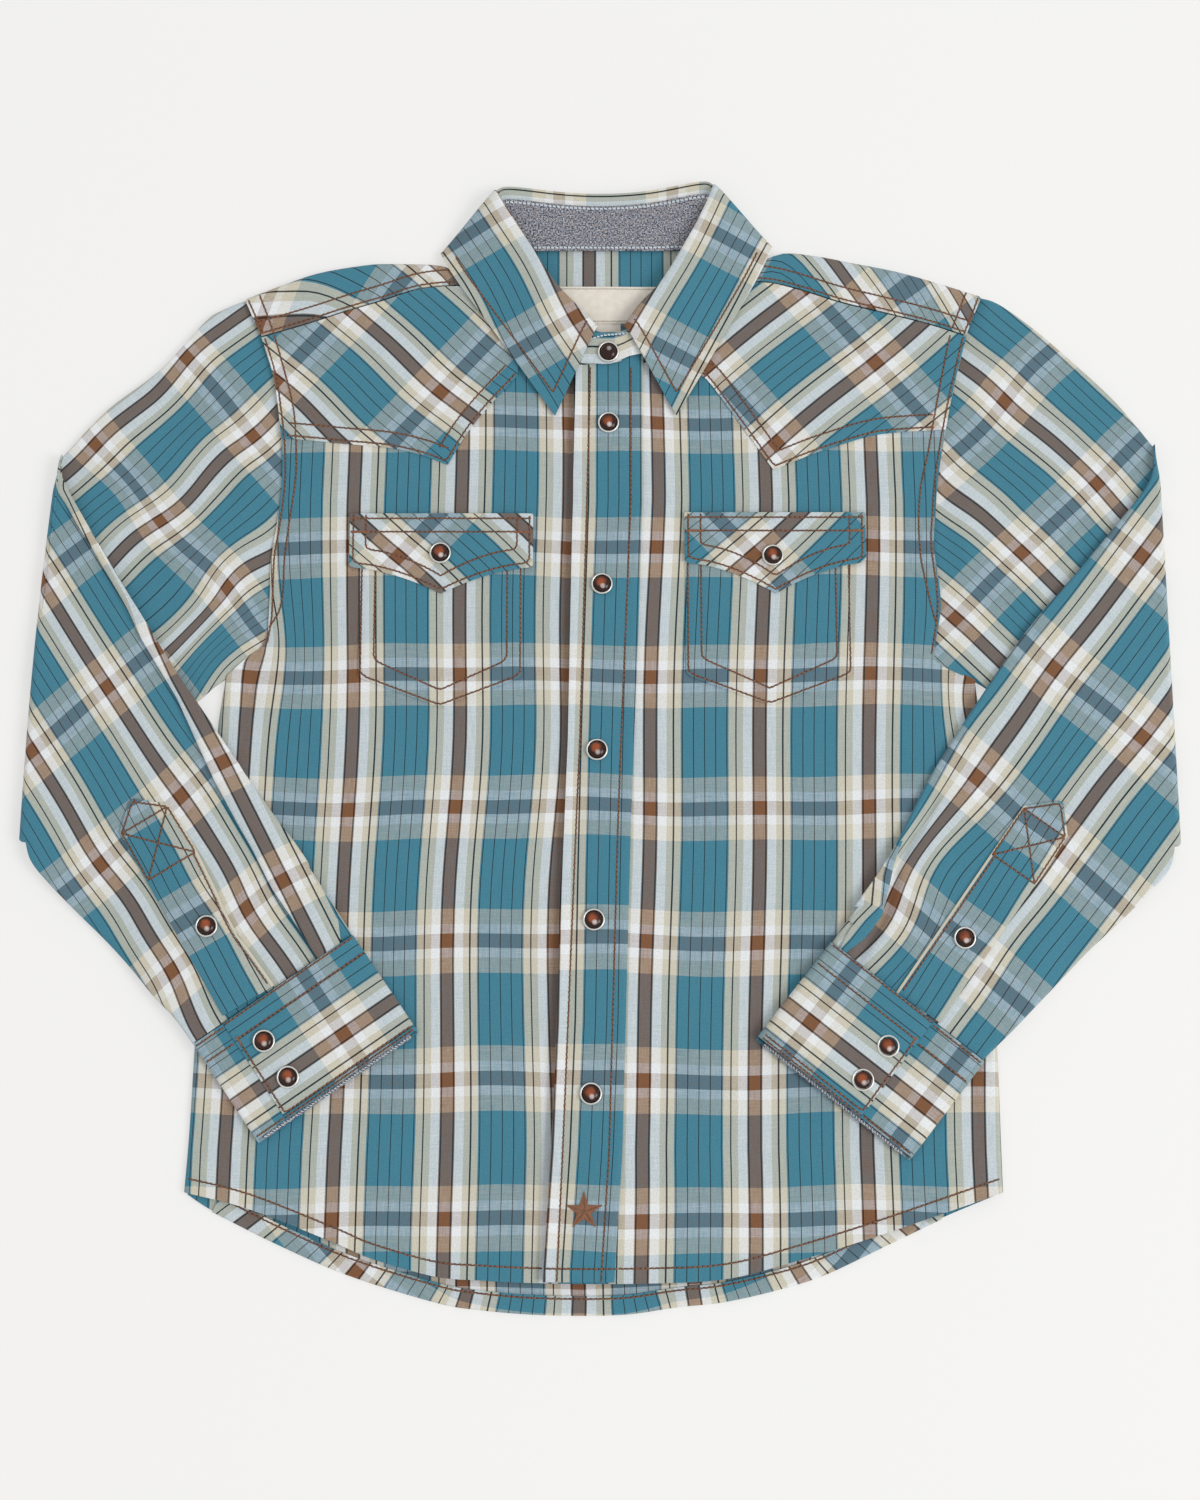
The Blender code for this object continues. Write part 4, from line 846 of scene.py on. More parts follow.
def thread_material(name, dark, light, painted_end_shade):
    """Sewing thread: twisted, slightly glossy, with painted shade where each stitch dips into the cloth.
    """
    material, n, shader = new_material(name)
    place = n.object_place()
    twist, along = n.noise(place, 2600.0, 1.0), n.noise(place, 140.0)
    blend = n.scaled(twist, 0.7, n.scaled(along, 0.7, -0.2))
    # Painted shade towards both ends of each stitch, and over the whole of each needle hole's block
    end = n.math("ABSOLUTE", n.scaled(n.split(n.cloth_place())[1], 2.0, -1.0))
    end = n.math("MAXIMUM", n.math("MULTIPLY", n.math("SUBTRACT", end, 0.72), 5.0), 0.0)
    end = n.math("MULTIPLY", n.math("SMOOTH_MIN", end, 1.0, 0.2), painted_end_shade)
    n.feed(shader, {
        "Base Color": n.mix(end, n.mix(blend, dark, light), (0.010, 0.009, 0.012, 1)),
        "Roughness": n.scaled(twist, 0.25, 0.4), "Sheen Weight": 0.1,
        "Normal": n.bump(twist, 0.4, 0.0001)})
    return material


def steel_material():
    material, n, shader = new_material("Snap ring plated steel")
    place = n.object_place()
    wear, shade = n.noise(place, 900.0, 4.0, 0.6), n.noise(place, 160.0)
    n.feed(shader, {
        "Base Color": n.mix(shade, (0.74, 0.72, 0.68, 1), (0.90, 0.885, 0.85, 1)),
        "Roughness": n.scaled(wear, 0.22, 0.30), "Metallic": 1.0,
        "Normal": n.bump(wear, 0.1, 0.00005)})
    return material


def pearl_material():
    """Brown pearl cap: dark, layered ground under a gloss, wandering band of painted light, painted
    highlights.
    """
    material, n, shader = new_material("Snap cap brown pearl")
    place = n.cloth_place()
    x, y, _ = n.split(place)
    cloud, fleck = n.noise(place, 0.8, 3.0, 0.6), n.noise(place, 9.0, 3.0, 0.7)
    across = n.math("SUBTRACT", n.math("FRACT", n.math("DIVIDE", x, CAP_SPACING)), 0.5)
    across = n.math("MULTIPLY", across, CAP_SPACING)

    def spot(middle_x, middle_y, tightness):
        """1 at a place on the cap, falling away round it."""
        aside, above = n.math("SUBTRACT", across, middle_x), n.math("SUBTRACT", y, middle_y)
        away = n.math("ADD", n.math("MULTIPLY", aside, aside), n.math("MULTIPLY", above, above))
        return n.math("MAXIMUM", n.math("SUBTRACT", 1.0, n.math("MULTIPLY", away, tightness)), 0.0)

    # Painted light: a bright patch through the pearl, kept towards the upper left of each cap and broken
    # up by its cloud
    painted_glow = n.held(n.math("MULTIPLY", spot(-0.12, 0.2, 1.9), n.scaled(cloud, 3.2, -0.5)), 1.0)
    # Painted highlight: a whitish spot below the middle of each cap
    painted_highlight = n.math("MULTIPLY", spot(0.10, -0.34, 7.0), n.scaled(cloud, 1.6))
    # Painted highlight: a grey spot on the stand's nearly black cap only
    painted_stand_highlight = n.math("MULTIPLY", spot(0.08, DARK_CAP_SHIFT + 0.36, 8.0), 0.8)
    ground = n.mix(fleck, (0.010, 0.003, 0.002, 1), (0.040, 0.010, 0.005, 1))
    bright = n.mix(fleck, (0.16, 0.030, 0.010, 1), (0.44, 0.115, 0.040, 1))
    body = n.mix(painted_stand_highlight, n.mix(painted_glow, ground, bright), (0.42, 0.40, 0.40, 1))
    n.feed(shader, {
        "Base Color": n.mix(n.math("MINIMUM", painted_highlight, 0.85), body, (0.70, 0.62, 0.60, 1)),
        "Roughness": n.scaled(fleck, 0.12, 0.16), "Specular IOR Level": 0.22,
        "Coat Weight": 0.18, "Coat Roughness": 0.05})
    return material


# ---- Cloth pieces ----
def fill(data, mesh):
    """Put a finished bmesh into mesh data and free it."""
    mesh.to_mesh(data)
    mesh.free()
    return data


def new_object(name, data):
    thing = bpy.data.objects.new(name, data)
    bpy.context.scene.collection.objects.link(thing)
    return thing


def grid_data(name, places, grain, other=None, use_other=None, drop=None):
    """A grid moved onto rows of points, with its grain as a UV map."""
    rows, columns = places.shape[:2]
    mesh = bmesh.new()
    bmesh.ops.create_grid(mesh, x_segments=columns - 1, y_segments=rows - 1, size=1)
    data = fill(bpy.data.meshes.new(name), mesh)
    data.vertices.foreach_set("co", (places * MM).ravel())
    corners = np.empty(len(data.loops), dtype=np.int32)
    data.loops.foreach_get("vertex_index", corners)
    lowest = corners.reshape(-1, 4).min(axis=1)
    row, column = lowest // columns, lowest % columns
    cloth = grain.reshape(-1, 2)[corners]
    if other is not None:
        chosen = np.repeat(use_other(row, column), 4)
        cloth = np.where(chosen[:, None], other.reshape(-1, 2)[corners], cloth)
    layer = data.uv_layers.new(name="Cloth")
    layer.data.foreach_set("uv", (cloth * MM).astype(np.float32).ravel())
    data.update()
    if drop is not None:
        doomed = set(np.nonzero(drop(row, column))[0].tolist())
        mesh = bmesh.new()
        mesh.from_mesh(data)
        mesh.faces.ensure_lookup_table()
        bmesh.ops.delete(mesh, geom=[mesh.faces[i] for i in doomed], context="FACES")
        fill(data, mesh)
    return data


def add_cloth(name, data, stuff, wall, closed=False, centred=False, up=True):
    """Finish a grid: faces outward, a wall, smooth with crisp cut edges."""
    mesh = bmesh.new()
    mesh.from_mesh(data)
    if closed:
        bmesh.ops.remove_doubles(mesh, verts=mesh.verts, dist=1e-6)
        bmesh.ops.recalc_face_normals(mesh, faces=mesh.faces)
    else:
        mesh.normal_update()
        if (sum(face.normal.z for face in mesh.faces) < 0) == up:
            bmesh.ops.reverse_faces(mesh, faces=mesh.faces)
    thing = new_object(name, fill(data, mesh))
    data.materials.append(stuff)
    if wall:
        skin = thing.modifiers.new("Wall", "SOLIDIFY")
        skin.thickness = wall * MM
        skin.offset = 0.0 if centred else -1.0
        skin.use_even_offset = not (closed or centred)
        skin.use_rim = True
        graph = bpy.context.evaluated_depsgraph_get()
        solid = bpy.data.meshes.new_from_object(thing.evaluated_get(graph))
        thing.modifiers.clear()
        thing.data = solid
        bpy.data.meshes.remove(data)
        data = solid
        data.name = name
    data.shade_smooth()
    data.set_sharp_from_angle(angle=math.radians(55))
    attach(thing, "root")
    return thing


def lay(name, x, y, z, grain, stuff, wall=0.6, drop=None, **more):
    """A piece of cloth from arrays of coordinates and a grain, or arrays of its values."""
    u, v = grain(x, y) if callable(grain) else grain
    x, y, z, u, v = np.broadcast_arrays(x, y, z, u, v)
    data = grid_data(name, np.stack([x, y, z], axis=-1), np.stack([u, v], axis=-1), drop=drop)
    return add_cloth(name, data, stuff, wall, **more)


threads = make_thread_group()
PLAID = cloth_material("Plaid shirting", make_plaid_group(threads), 0.12)
CHAMBRAY = cloth_material("Chambray lining", make_chambray_group(threads), 0.1)
SATIN = label_material()
RUST_THREAD = thread_material("Rust thread", (0.030, 0.012, 0.006, 1), (0.30, 0.115, 0.045, 1),
                              1.0)
SATIN_THREAD = thread_material("Rust satin thread", (0.16, 0.065, 0.030, 1),
                               (0.36, 0.16, 0.08, 1), 0.35)
BLUE_THREAD = thread_material("Pale blue thread", (0.40, 0.47, 0.54, 1), (0.74, 0.80, 0.84, 1), 1.0)
CREAM_THREAD = thread_material("Cream thread", (0.30, 0.26, 0.20, 1), (0.62, 0.57, 0.48, 1), 0.35)
STEEL = steel_material()
PEARL = pearl_material()

# Where sewing runs on the body, as lines of x, y
sewing = {}


def body_edge(side, top_row, steps=10):
    """Edge of a body panel from the hem up to a row of the armhole: x, y, how far it rolls."""
    hole = list(reversed(ARMHOLE[side][top_row:]))
    points = [(x, y, 1.0) for x, y in SIDE[side]] + [(x, y, 0.0) for x, y in hole]
    first = smooth(points[:len(SIDE[side])], steps)
    second = smooth(points[len(SIDE[side]):], steps)
    joint = smooth([points[len(SIDE[side]) - 1], points[len(SIDE[side])]], steps)
    return np.concatenate([first, joint[1:-1], second])


def shaped(y, hem_drop, top_rise, bottom_y, top_y):
    """Heights of a panel's rows, level in the middle and following its hem and its top."""
    low = np.maximum((SHAPE_LOW - y) / (SHAPE_LOW - bottom_y), 0.0) ** 1.5
    high = np.maximum((y - SHAPE_HIGH) / (top_y - SHAPE_HIGH), 0.0)
    return y + hem_drop * low + top_rise * high


def armhole_rows(side):
    """The two rows of sewing on the body beside the sleeve."""
    hole = smooth(ARMHOLE[side][:-2], 6)
    return [inset(hole, -OUT[side] * ARMHOLE_SEAM), smooth(ARMHOLE_ROW[side], 6)]


def front_hem_row():
    hem = fine(FRONT_HEM)
    return np.column_stack([hem[:, 0], hem[:, 1] + HEM_ROW])


def make_front(side):
    out = OUT[side]
    edge = body_edge(side, FRONT_SEAM_ROW)
    hem, top = fine(FRONT_HEM), fine(FRONT_TOP)
    top_y = ARMHOLE[side][FRONT_SEAM_ROW][1]
    radius = FRONT_LIFT + WALL
    edge_x, edge_y, roll = edge[:, :1], edge[:, 1:2], edge[:, 2:]
    centre = read(PLACKET, edge_y) + (UNDERLAP if side == "right" else 0.8)
    angles = np.radians(np.linspace(0, 90, 8))[None, :-1]
    rolled_x = edge_x - out * radius * (1 - np.cos(angles))
    rolled_flat = edge_x - out * radius + out * radius * (math.pi / 2 - angles)
    shares = spread(170.0, (2.2, 9.2), 2.6)[None, :] / 170.0
    flat_x = lerp(edge_x - out * radius, centre, shares)
    x = np.concatenate([rolled_x, flat_x], axis=1)
    flat = np.concatenate([rolled_flat, flat_x], axis=1)
    rise = np.concatenate([lerp(1.0, np.maximum(np.sin(angles), 0.15), roll),
                           np.ones_like(flat_x)], axis=1)
    hem_drop = read(hem, x) - read(hem, edge_x)
    top_rise = read(top, x) - read(top, edge_x)
    y = shaped(edge_y + 0 * x, hem_drop, top_rise, edge_y[0], top_y)
    z = front_top(side, 0)(x, y)
    z = (z - sunk(x, y, armhole_rows(side) + [front_hem_row()], 0.3)) * rise
    if side == "right":
        z = z - 1.1 * np.exp(-((x - read(PLACKET, y) + 1.0) / 3.2) ** 2)
    u, v = body_grain(side)(flat, y)
    front = lay("front_cloth_" + side, x, y, z, (u, v), PLAID)
    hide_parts("front_" + side)


def back_columns(steps):
    """Columns over the back's width: a zone, and how far each lies through it."""
    columns = [("right", step / steps) for step in range(steps)]
    columns += [("neck", step / steps) for step in range(steps + 1)]
    columns += [("left", 1 - step / steps) for step in range(1, steps + 1)]
    return columns


def column_x(zone, share, right_x, left_x):
    if zone == "neck":
        return lerp(NECK_SIDE["right"], NECK_SIDE["left"], share)
    return lerp(right_x if zone == "right" else left_x, NECK_SIDE[zone], share)


def back_grain(x, y):
    """The back's grain, followed where it shows along the hem and plain above."""
    warp = np.array(BACK_WARP, dtype=float)
    number = np.interp(x, warp[:, 0], warp[:, 1])
    number = number + (np.minimum(x - warp[0, 0], 0) + np.maximum(x - warp[-1, 0], 0)) / 54.5
    v = y - read(BACK_WEFT, x)
    return number * WARP_REPEAT + 0.7 * np.sin((y + 286) / 33), v + 0.5 * np.sin(x / 41)


def make_back():
    right, left = body_edge("right", YOKE_ROW), body_edge("left", YOKE_ROW)
    rows = min(len(right), len(left))
    right, left = right[:rows], left[:rows]
    hem, yoke_edge = fine(BACK_HEM), fine(BACK_YOKE_EDGE, 1)
    right_x, left_x = (edge[:, 0] + 1.8 * hand * edge[:, 2] for edge, hand in ((right, 1), (left, -1)))
    xs = np.stack([column_x(zone, share, right_x, left_x) + np.zeros(rows)
                   for zone, share in back_columns(34)], axis=1)
    level = (xs - right[:, :1]) / (left[:, :1] - right[:, :1])
    y = lerp(right[:, 1:2], left[:, 1:2], level)
    hem_drop = read(hem, xs) - lerp(read(hem, right[:, :1]), read(hem, left[:, :1]), level)
    top_y = lerp(right[-1, 1], left[-1, 1], level)
    y = shaped(y, hem_drop, read(yoke_edge, xs) - top_y, right[0, 1], top_y)
    back = lay("back_cloth", xs, y, WALL, back_grain, PLAID, wall=0.7)
    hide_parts("back")


def make_back_hem():
    """The back's hem allowance, folded over the edge, so that its stripes run mirrored."""
    edge = stepped(smooth(BACK_HEM[1:-1], 8), 2.0)
    run = np.gradient(edge, axis=0)
    run /= np.linalg.norm(run, axis=1, keepdims=True)
    inward = np.stack([-run[:, 1], run[:, 0]], axis=1)
    # Across: round the fold from below, then flat up to the cut edge
    stations = [(0.5, 0.25), (-0.15, 0.35), (-0.4, 0.8), (-0.15, 1.3), (0.6, 1.55), (1.8, 1.6)]
    stations += [(1.8 + (BACK_HEM_DEPTH - 1.8) * share, 1.6) for share in np.linspace(0.2, 1, 5)]
    reach, rise = np.array(stations).T
    ripple = 0.5 * np.sin(edge[:, :1] / 8.5 + 2 * np.sin(edge[:, :1] / 37))
    ripple = np.maximum(ripple, 0) * (reach[None, :] / BACK_HEM_DEPTH) ** 2
    x = edge[:, :1] + inward[:, :1] * reach
    y = edge[:, 1:] + inward[:, 1:] * reach
    folded_x, folded_y = x - 2 * inward[:, :1] * reach, y - 2 * inward[:, 1:] * reach
    row = edge + inward * BACK_HEM_ROW
    sewing["back_hem"] = [row]
    z = rise[None, :] + ripple - sunk(x, y, [row], 0.2)
    hem = lay("back_hem_cloth", x, y, np.maximum(z, 0.2), back_grain(folded_x, folded_y), PLAID,
              wall=0.4, centred=True)


def make_back_yoke():
    """The outer yoke, turned over both shoulders to the front-yoke seams."""
    columns = back_columns(24)
    back_rows, turn_rows, front_rows = 26, 9, 8
    top_line, shoulder, over_front = fine(FRONT_TOP), fine(SHOULDER), front_top("right", 1)
    holes = {side: smooth(ARMHOLE[side][:YOKE_ROW + 1], 8) for side in ARMHOLE}
    upwards = np.arange(back_rows + 1) / back_rows
    turn = np.arange(1, turn_rows + 1) / turn_rows * math.pi
    onwards = np.arange(1, front_rows + 1) / front_rows
    built = []
    for zone, share in columns:
        side = "left" if zone == "left" else "right"
        hole, rows = holes[side], ARMHOLE[side]
        in_neck = zone == "neck" and 0 < share < 1

        def place_x(edge_x, zone=zone, share=share):
            return column_x(zone, share, edge_x, edge_x)

        fold_x = column_x(zone, share, ARMHOLE["right"][0][0], ARMHOLE["left"][0][0])
        fold_y = NECK_BACK if in_neck else float(read(shoulder, fold_x))
        low = float(yoke_lift(fold_x, fold_y))
        radius = 0 if in_neck else (float(over_front(fold_x, fold_y)) - low) / 2
        reach = fold_y - radius
        hole_y = lerp(hole[-1][1], hole[0][1] - radius, upwards)
        back_x = place_x(np.interp(hole_y, hole[::-1, 1], hole[::-1, 0])) + 0 * upwards
        start_y = float(read(BACK_YOKE_EDGE, place_x(hole[-1][0])))
        back_y = lerp(start_y + 0.6, reach, upwards)
        front_x = np.interp(onwards, [0, 0.45, 1], [back_x[-1], place_x(rows[1][0]),
                                                    place_x(rows[FRONT_SEAM_ROW][0])])
        front_y = lerp(reach, read(top_line, front_x) + 0.9, onwards)
        built.append(np.concatenate([
            [back_x, back_y, yoke_lift(back_x, back_y), back_y],
            [back_x[-1] + 0 * turn, reach + radius * np.sin(turn),
             low + radius * (1 - np.cos(turn)), reach + radius * turn],
            [front_x, front_y, over_front(front_x, front_y),
             reach + radius * math.pi + (reach - front_y)]], axis=1))
    x, y, z, flat = np.array(built).transpose(1, 2, 0)
    grains = []
    for side in ("right", "left"):
        mark_x, mark_y, degrees = SHOULDER_GRAIN[side]
        fold_y = float(read(shoulder, mark_x))
        slope = math.degrees(math.atan2(
            float(read(shoulder, mark_x + 30) - read(shoulder, mark_x - 30)), 60))
        grains.append(straight_grain(mark_x, 2 * fold_y - mark_y + 5, 2 * slope - degrees))
    share = ease((x + 60) / 130)
    u, v = (lerp(right, left, share) for right, left in zip(*(grain(x, flat) for grain in grains)))
    for side, seam_x in (("right", np.arange(-177, -72, 3.0)), ("left", np.arange(80, 193, 3.0))):
        sewing["shoulder_" + side] = [np.column_stack([seam_x, read(top_line, seam_x) + rise])
                                      for rise in SHOULDER_ROWS]
    upper = np.arange(len(x))[:, None] > back_rows + turn_rows // 2
    z = z - np.where(upper, sunk(x, y, sewing["shoulder_right"] + sewing["shoulder_left"], 0.3), 0)
    neck = np.array([zone == "neck" for zone, _ in columns])

    def over_neck(row, column):
        return (row >= back_rows) & neck[column]

    yoke = lay("yoke_cloth_back", x, y, z, (u, v), PLAID, wall=0.7, drop=over_neck, up=False)
    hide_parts("back_yoke")


def make_front_yoke(side):
    hole = smooth(ARMHOLE[side][FRONT_SEAM_ROW:YOKE_ROW + 1], 12)[::-1]
    rows = np.linspace(0, 1, 30)[:, None] ** 1.2
    hole_x = np.interp(lerp(hole[0, 1], hole[-1, 1], rows), hole[:, 1], hole[:, 0])
    point, inner = YOKE_POINT[side], YOKE_INNER[side]
    outer_share = spread(90.0, (2.2, 9.2), 2.8)[None, :] / 90.0
    inner_share = np.linspace(0, 1, 15)[None, 1:]
    x = np.concatenate([lerp(hole_x, point, outer_share),
                        lerp(point + 0 * hole_x, inner, inner_share)], axis=1)
    edges = YOKE_EDGE[side]
    corner = [index for index, row in enumerate(edges) if row[0] == point][0]
    edge = np.concatenate([smooth(edges[:corner + 1], 5), smooth(edges[corner:], 5)[1:]])
    bottom = read(edge, x)
    y = lerp(bottom, read(fine(FRONT_TOP), x), rows)
    keep = edge[(edge[:, 0] - hole[0, 0]) * OUT[side] < 0]
    sewing["yoke_" + side] = [inset(keep, distance) for distance in YOKE_ROWS]
    lines = sewing["yoke_" + side] + armhole_rows(side)
    near = np.minimum(y - bottom, 3.0) / 3.0
    z = front_top(side, 1)(x, y) - 0.45 * (1 - near) ** 2
    z = z - sunk(x, y, lines, 0.3)
    yoke = lay("yoke_cloth_" + side, x, y, z, straight_grain(*YOKE_GRAIN[side]), PLAID, wall=0.8)
    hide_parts("yoke_" + side)


def make_placket():
    ys = np.linspace(PLACKET[0][0], PLACKET[-1][0], 190)[:, None]
    edge, first, second = read(PLACKET, ys), read(PLACKET_ROWS, ys), read(PLACKET_ROWS, ys, 2)
    across = np.array([[0, 1.2, 3.2, 4.6, 6.0, 7.4]]) / 6.0
    x = np.concatenate([edge + (first - edge) * across,
                        lerp(first + 1.4, second - 1.4, np.linspace(0, 1, 8)[None, 1:]),
                        second + np.array([[0.0, 1.4, 3.2, 5.2, 6.4]])], axis=1)
    under_stand = np.clip((ys - 176.0) / 10.3, 0, 1)
    y = ys + under_stand * read([(-8, 1.0), (4.4, 2.6), (11.4, 5.0), (17.6, 8.0), (22, 8.6)], x)
    lines = [np.column_stack([row, ys]) for row in (first, second)]
    width = second - edge + 6.4
    near = np.minimum(np.minimum(x - edge, edge + width - x), 2.0) / 2.0
    z = front_top("right", 2)(x, y) - 0.45 * (1 - near) ** 2 - 0.5 * ease((y - 187.5) / 3)
    z = z - sunk(x, y, lines, 0.35) + 0.9 * np.maximum(1 - (x - edge) / 5, 0) ** 1.5
    sewing["placket"] = lines
    placket = lay("placket_cloth", x, y, z, placket_grain, PLAID, wall=0.8)
    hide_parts("placket")


def patch_bottom(size, x, curve):
    """Lower edge of a pointed patch, straight or hollowed towards its point."""
    middle, half = (size["inner"] + size["outer"]) / 2, abs(size["inner"] - size["outer"]) / 2
    away = np.abs(x - middle) / half
    corner = 1.2 * np.maximum(0, 1 - (half - np.abs(x - middle)) / 3.0) ** 2
    return lerp(size["bottom"], size["point"], np.maximum(1 - away, 0) ** curve) + corner


def patch_lines(size, insets, curve):
    """Sewing round a pointed patch: down one side, along its point and up the other."""
    low_x, high_x = sorted((size["inner"], size["outer"]))
    result = []
    for amount in insets:
        xs = np.linspace(low_x + amount, high_x - amount, 29)
        middle, width = (low_x + high_x) / 2, high_x - low_x
        widened = (xs - middle) * width / (width - 2 * amount) + middle
        ys = patch_bottom(size, widened, curve) + amount * 1.12
        result.append(np.concatenate([[(xs[0], size["top"] - 1)], np.column_stack([xs, ys]),
                                      [(xs[-1], size["top"] - 1)]]))
    return result


def make_patch(name, side, size, layers, grain, insets, curve, tops):
    low_x, high_x = sorted((size["inner"], size["outer"]))
    width = high_x - low_x
    half = spread(width / 2, insets, 2.6)
    xs = np.concatenate([low_x + half, high_x - half[::-1][1:]])[None, :]
    bottom = patch_bottom(size, xs, curve)
    height = size["top"] - size["bottom"]
    rows = spread(height, insets, 2.6)[:, None] / height
    y = lerp(bottom, size["top"], rows)
    x = xs + 0 * y
    lines = patch_lines(size, insets, curve)
    for drop in tops:
        level = size["top"] - drop
        lines.append(np.array([(low_x + 0.8, level), (high_x - 0.8, level)]))
    edge = np.minimum(np.minimum(x - low_x, high_x - x), y - bottom)
    z = front_top(side, layers)(x, y) - 0.5 * (1 - np.minimum(edge, 2.5) / 2.5) ** 2
    z = z - sunk(x, y, lines, 0.3)
    patch = lay(name + "_cloth_" + side, x, y, z, grain, PLAID, wall=0.8)
    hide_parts(name + "_" + side)
    sewing[name + "_" + side] = lines


# ---- Sleeves ----
def armhole_shares():
    """How far along the armhole each of its points lies, from 0 to 1."""
    lengths = run_lengths(np.array(ARMHOLE["right"]))
    return lengths / lengths[-1]


SHARES = np.concatenate([np.linspace(0, 0.17, 26)[:-1], np.linspace(0.17, 1, 50)])


def section_points(section, side):
    """Points across a sleeve from its upper edge to its lower one, slightly bowed."""
    upper_x, upper_y, lower_x, lower_y, bow = section
    x = lerp(upper_x, lower_x, SHARES) + OUT[side] * bow * np.sin(math.pi * SHARES)
    return np.column_stack([x, lerp(upper_y, lower_y, SHARES)])


def armhole_points(side):
    """The sleeve's first row, tucked just under the body's armhole edge."""
    hole = smooth(np.column_stack([armhole_shares(), np.array(ARMHOLE[side])]), 6)
    x, y = np.interp(SHARES, hole[:, 0], hole[:, 1]), np.interp(SHARES, hole[:, 0], hole[:, 2])
    return np.column_stack([x - OUT[side] * ARMHOLE_TUCK, y])


def ring_stations():
    """Once round a flattened tube, starting with the face that is outermost on the forearm.

    The columns are share of the width, rim past it in radii, height in depths, arc in radii.
    """
    angles = math.pi * np.arange(1, 7) / 7
    arcs = np.where(angles < math.pi / 2, angles, math.pi - angles)
    runs = [(SHARES, 0.0, 0.0, 0.0), (1.0, np.sin(angles), (1 - np.cos(angles)) / 2, arcs),
            (SHARES[::-1], 0.0, 1.0, 0.0), (0.0, -np.sin(angles), (1 + np.cos(angles)) / 2, -arcs)]
    runs = [np.stack(np.broadcast_arrays(*run), axis=-1) for run in runs]
    return np.concatenate(runs + [runs[0][:1]])


def make_sleeve(side):
    out = OUT[side]
    radius = SLEEVE_DEPTH / 2
    steps, fold_steps = 10, 12
    upper = [section_points(section, side) for section in UPPER_SLEEVE[side]]
    fore = upper[-1:] + [section_points(section, side) for section in FOREARM[side]]
    upper = smooth([armhole_points(side)] + upper, steps)
    fore = smooth(fore, steps)[1:]
    share, rim, height, arc = ring_stations().T
    clear = (FOREARM_LIFT - SLEEVE_DEPTH) / 2

    def across(row):
        """x, y on a row at each station, and the same laid flat past its edges."""
        length = np.linalg.norm(row[-1] - row[0])
        result = []
        for past in (rim, arc):
            place = (radius + share * (length - 2 * radius) + past * radius) / length
            over = np.maximum(place - 1, 0) + np.minimum(place, 0)
            result.append([np.interp(place, SHARES, row[:, axis]) + over * (row[-1] - row[0])[axis]
                           for axis in (0, 1)])
        return result

    outer_grain = marked_grain(FOREARM_GRAIN[side], FOREARM_STRIPES[side])
    inner_grain = marked_grain(UPPER_GRAIN[side], UPPER_STRIPES[side])
    crease = UPPER_SLEEVE[side][-1]
    under_grain = mirrored(outer_grain, crease[:2], crease[2:4], math.pi * (SLEEVE_DEPTH + clear))
    hidden_grain = mirrored(inner_grain, crease[:2], crease[2:4], math.pi * clear)
    built = []

    def keep(x, y, z, outer, inner):
        built.append(np.stack([x, y, z, *outer, *inner], axis=-1))

    for index, row in enumerate(upper):
        (x, y), (flat_x, flat_y) = across(row)
        near = min(index / steps, 1.0)
        top = 1.4 * folds(UPPER_FOLDS[side], x, y) * height
        top = top + 0.15 * uneven(x, y) * (height > 0.5)
        top = top * ease(near * 2) * ease((len(upper) - index) / 12)
        seam = 1.05 * (1 - ease(near * 1.6)) * height ** 2
        z = height * SLEEVE_DEPTH + top - seam
        keep(x, y, np.maximum(z, 0.0), under_grain(flat_x, flat_y), inner_grain(flat_x, flat_y))
    for step in range(1, fold_steps + 1):
        angle = math.pi * step / fold_steps
        (x, y), (flat_x, flat_y) = across(upper[-1])
        reach = SLEEVE_DEPTH * (1 - height) + clear
        x = x + out * reach * math.sin(angle) * (0.12 + 0.6 * ease(share / 0.1) + 0.28 * share)
        z = SLEEVE_DEPTH + clear - reach * math.cos(angle)
        keep(x, y, z, outer_grain(flat_x + out * reach * (math.pi - angle), flat_y),
             inner_grain(flat_x + out * clear * angle, flat_y))
    for row in fore:
        (x, y), (flat_x, flat_y) = across(row)
        lift = forearm_lift(side, x, y)
        top = pleat_height(side, x, y) * np.maximum(1 - 2 * height, 0)
        z = lift + SLEEVE_DEPTH * (1 - height) + top
        keep(x, y, z, outer_grain(flat_x, flat_y), hidden_grain(flat_x, flat_y))

    def on_inner(_, column):
        return (column >= len(SHARES) + 2) & (column < 2 * len(SHARES) + 8)

    built = np.array(built)
    data = grid_data("sleeve_cloth_" + side, built[..., :3], built[..., 3:5],
                     other=built[..., 5:], use_other=on_inner)
    sleeve = add_cloth("sleeve_cloth_" + side, data, PLAID, 0.5, closed=True)
    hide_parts("sleeve_" + side)


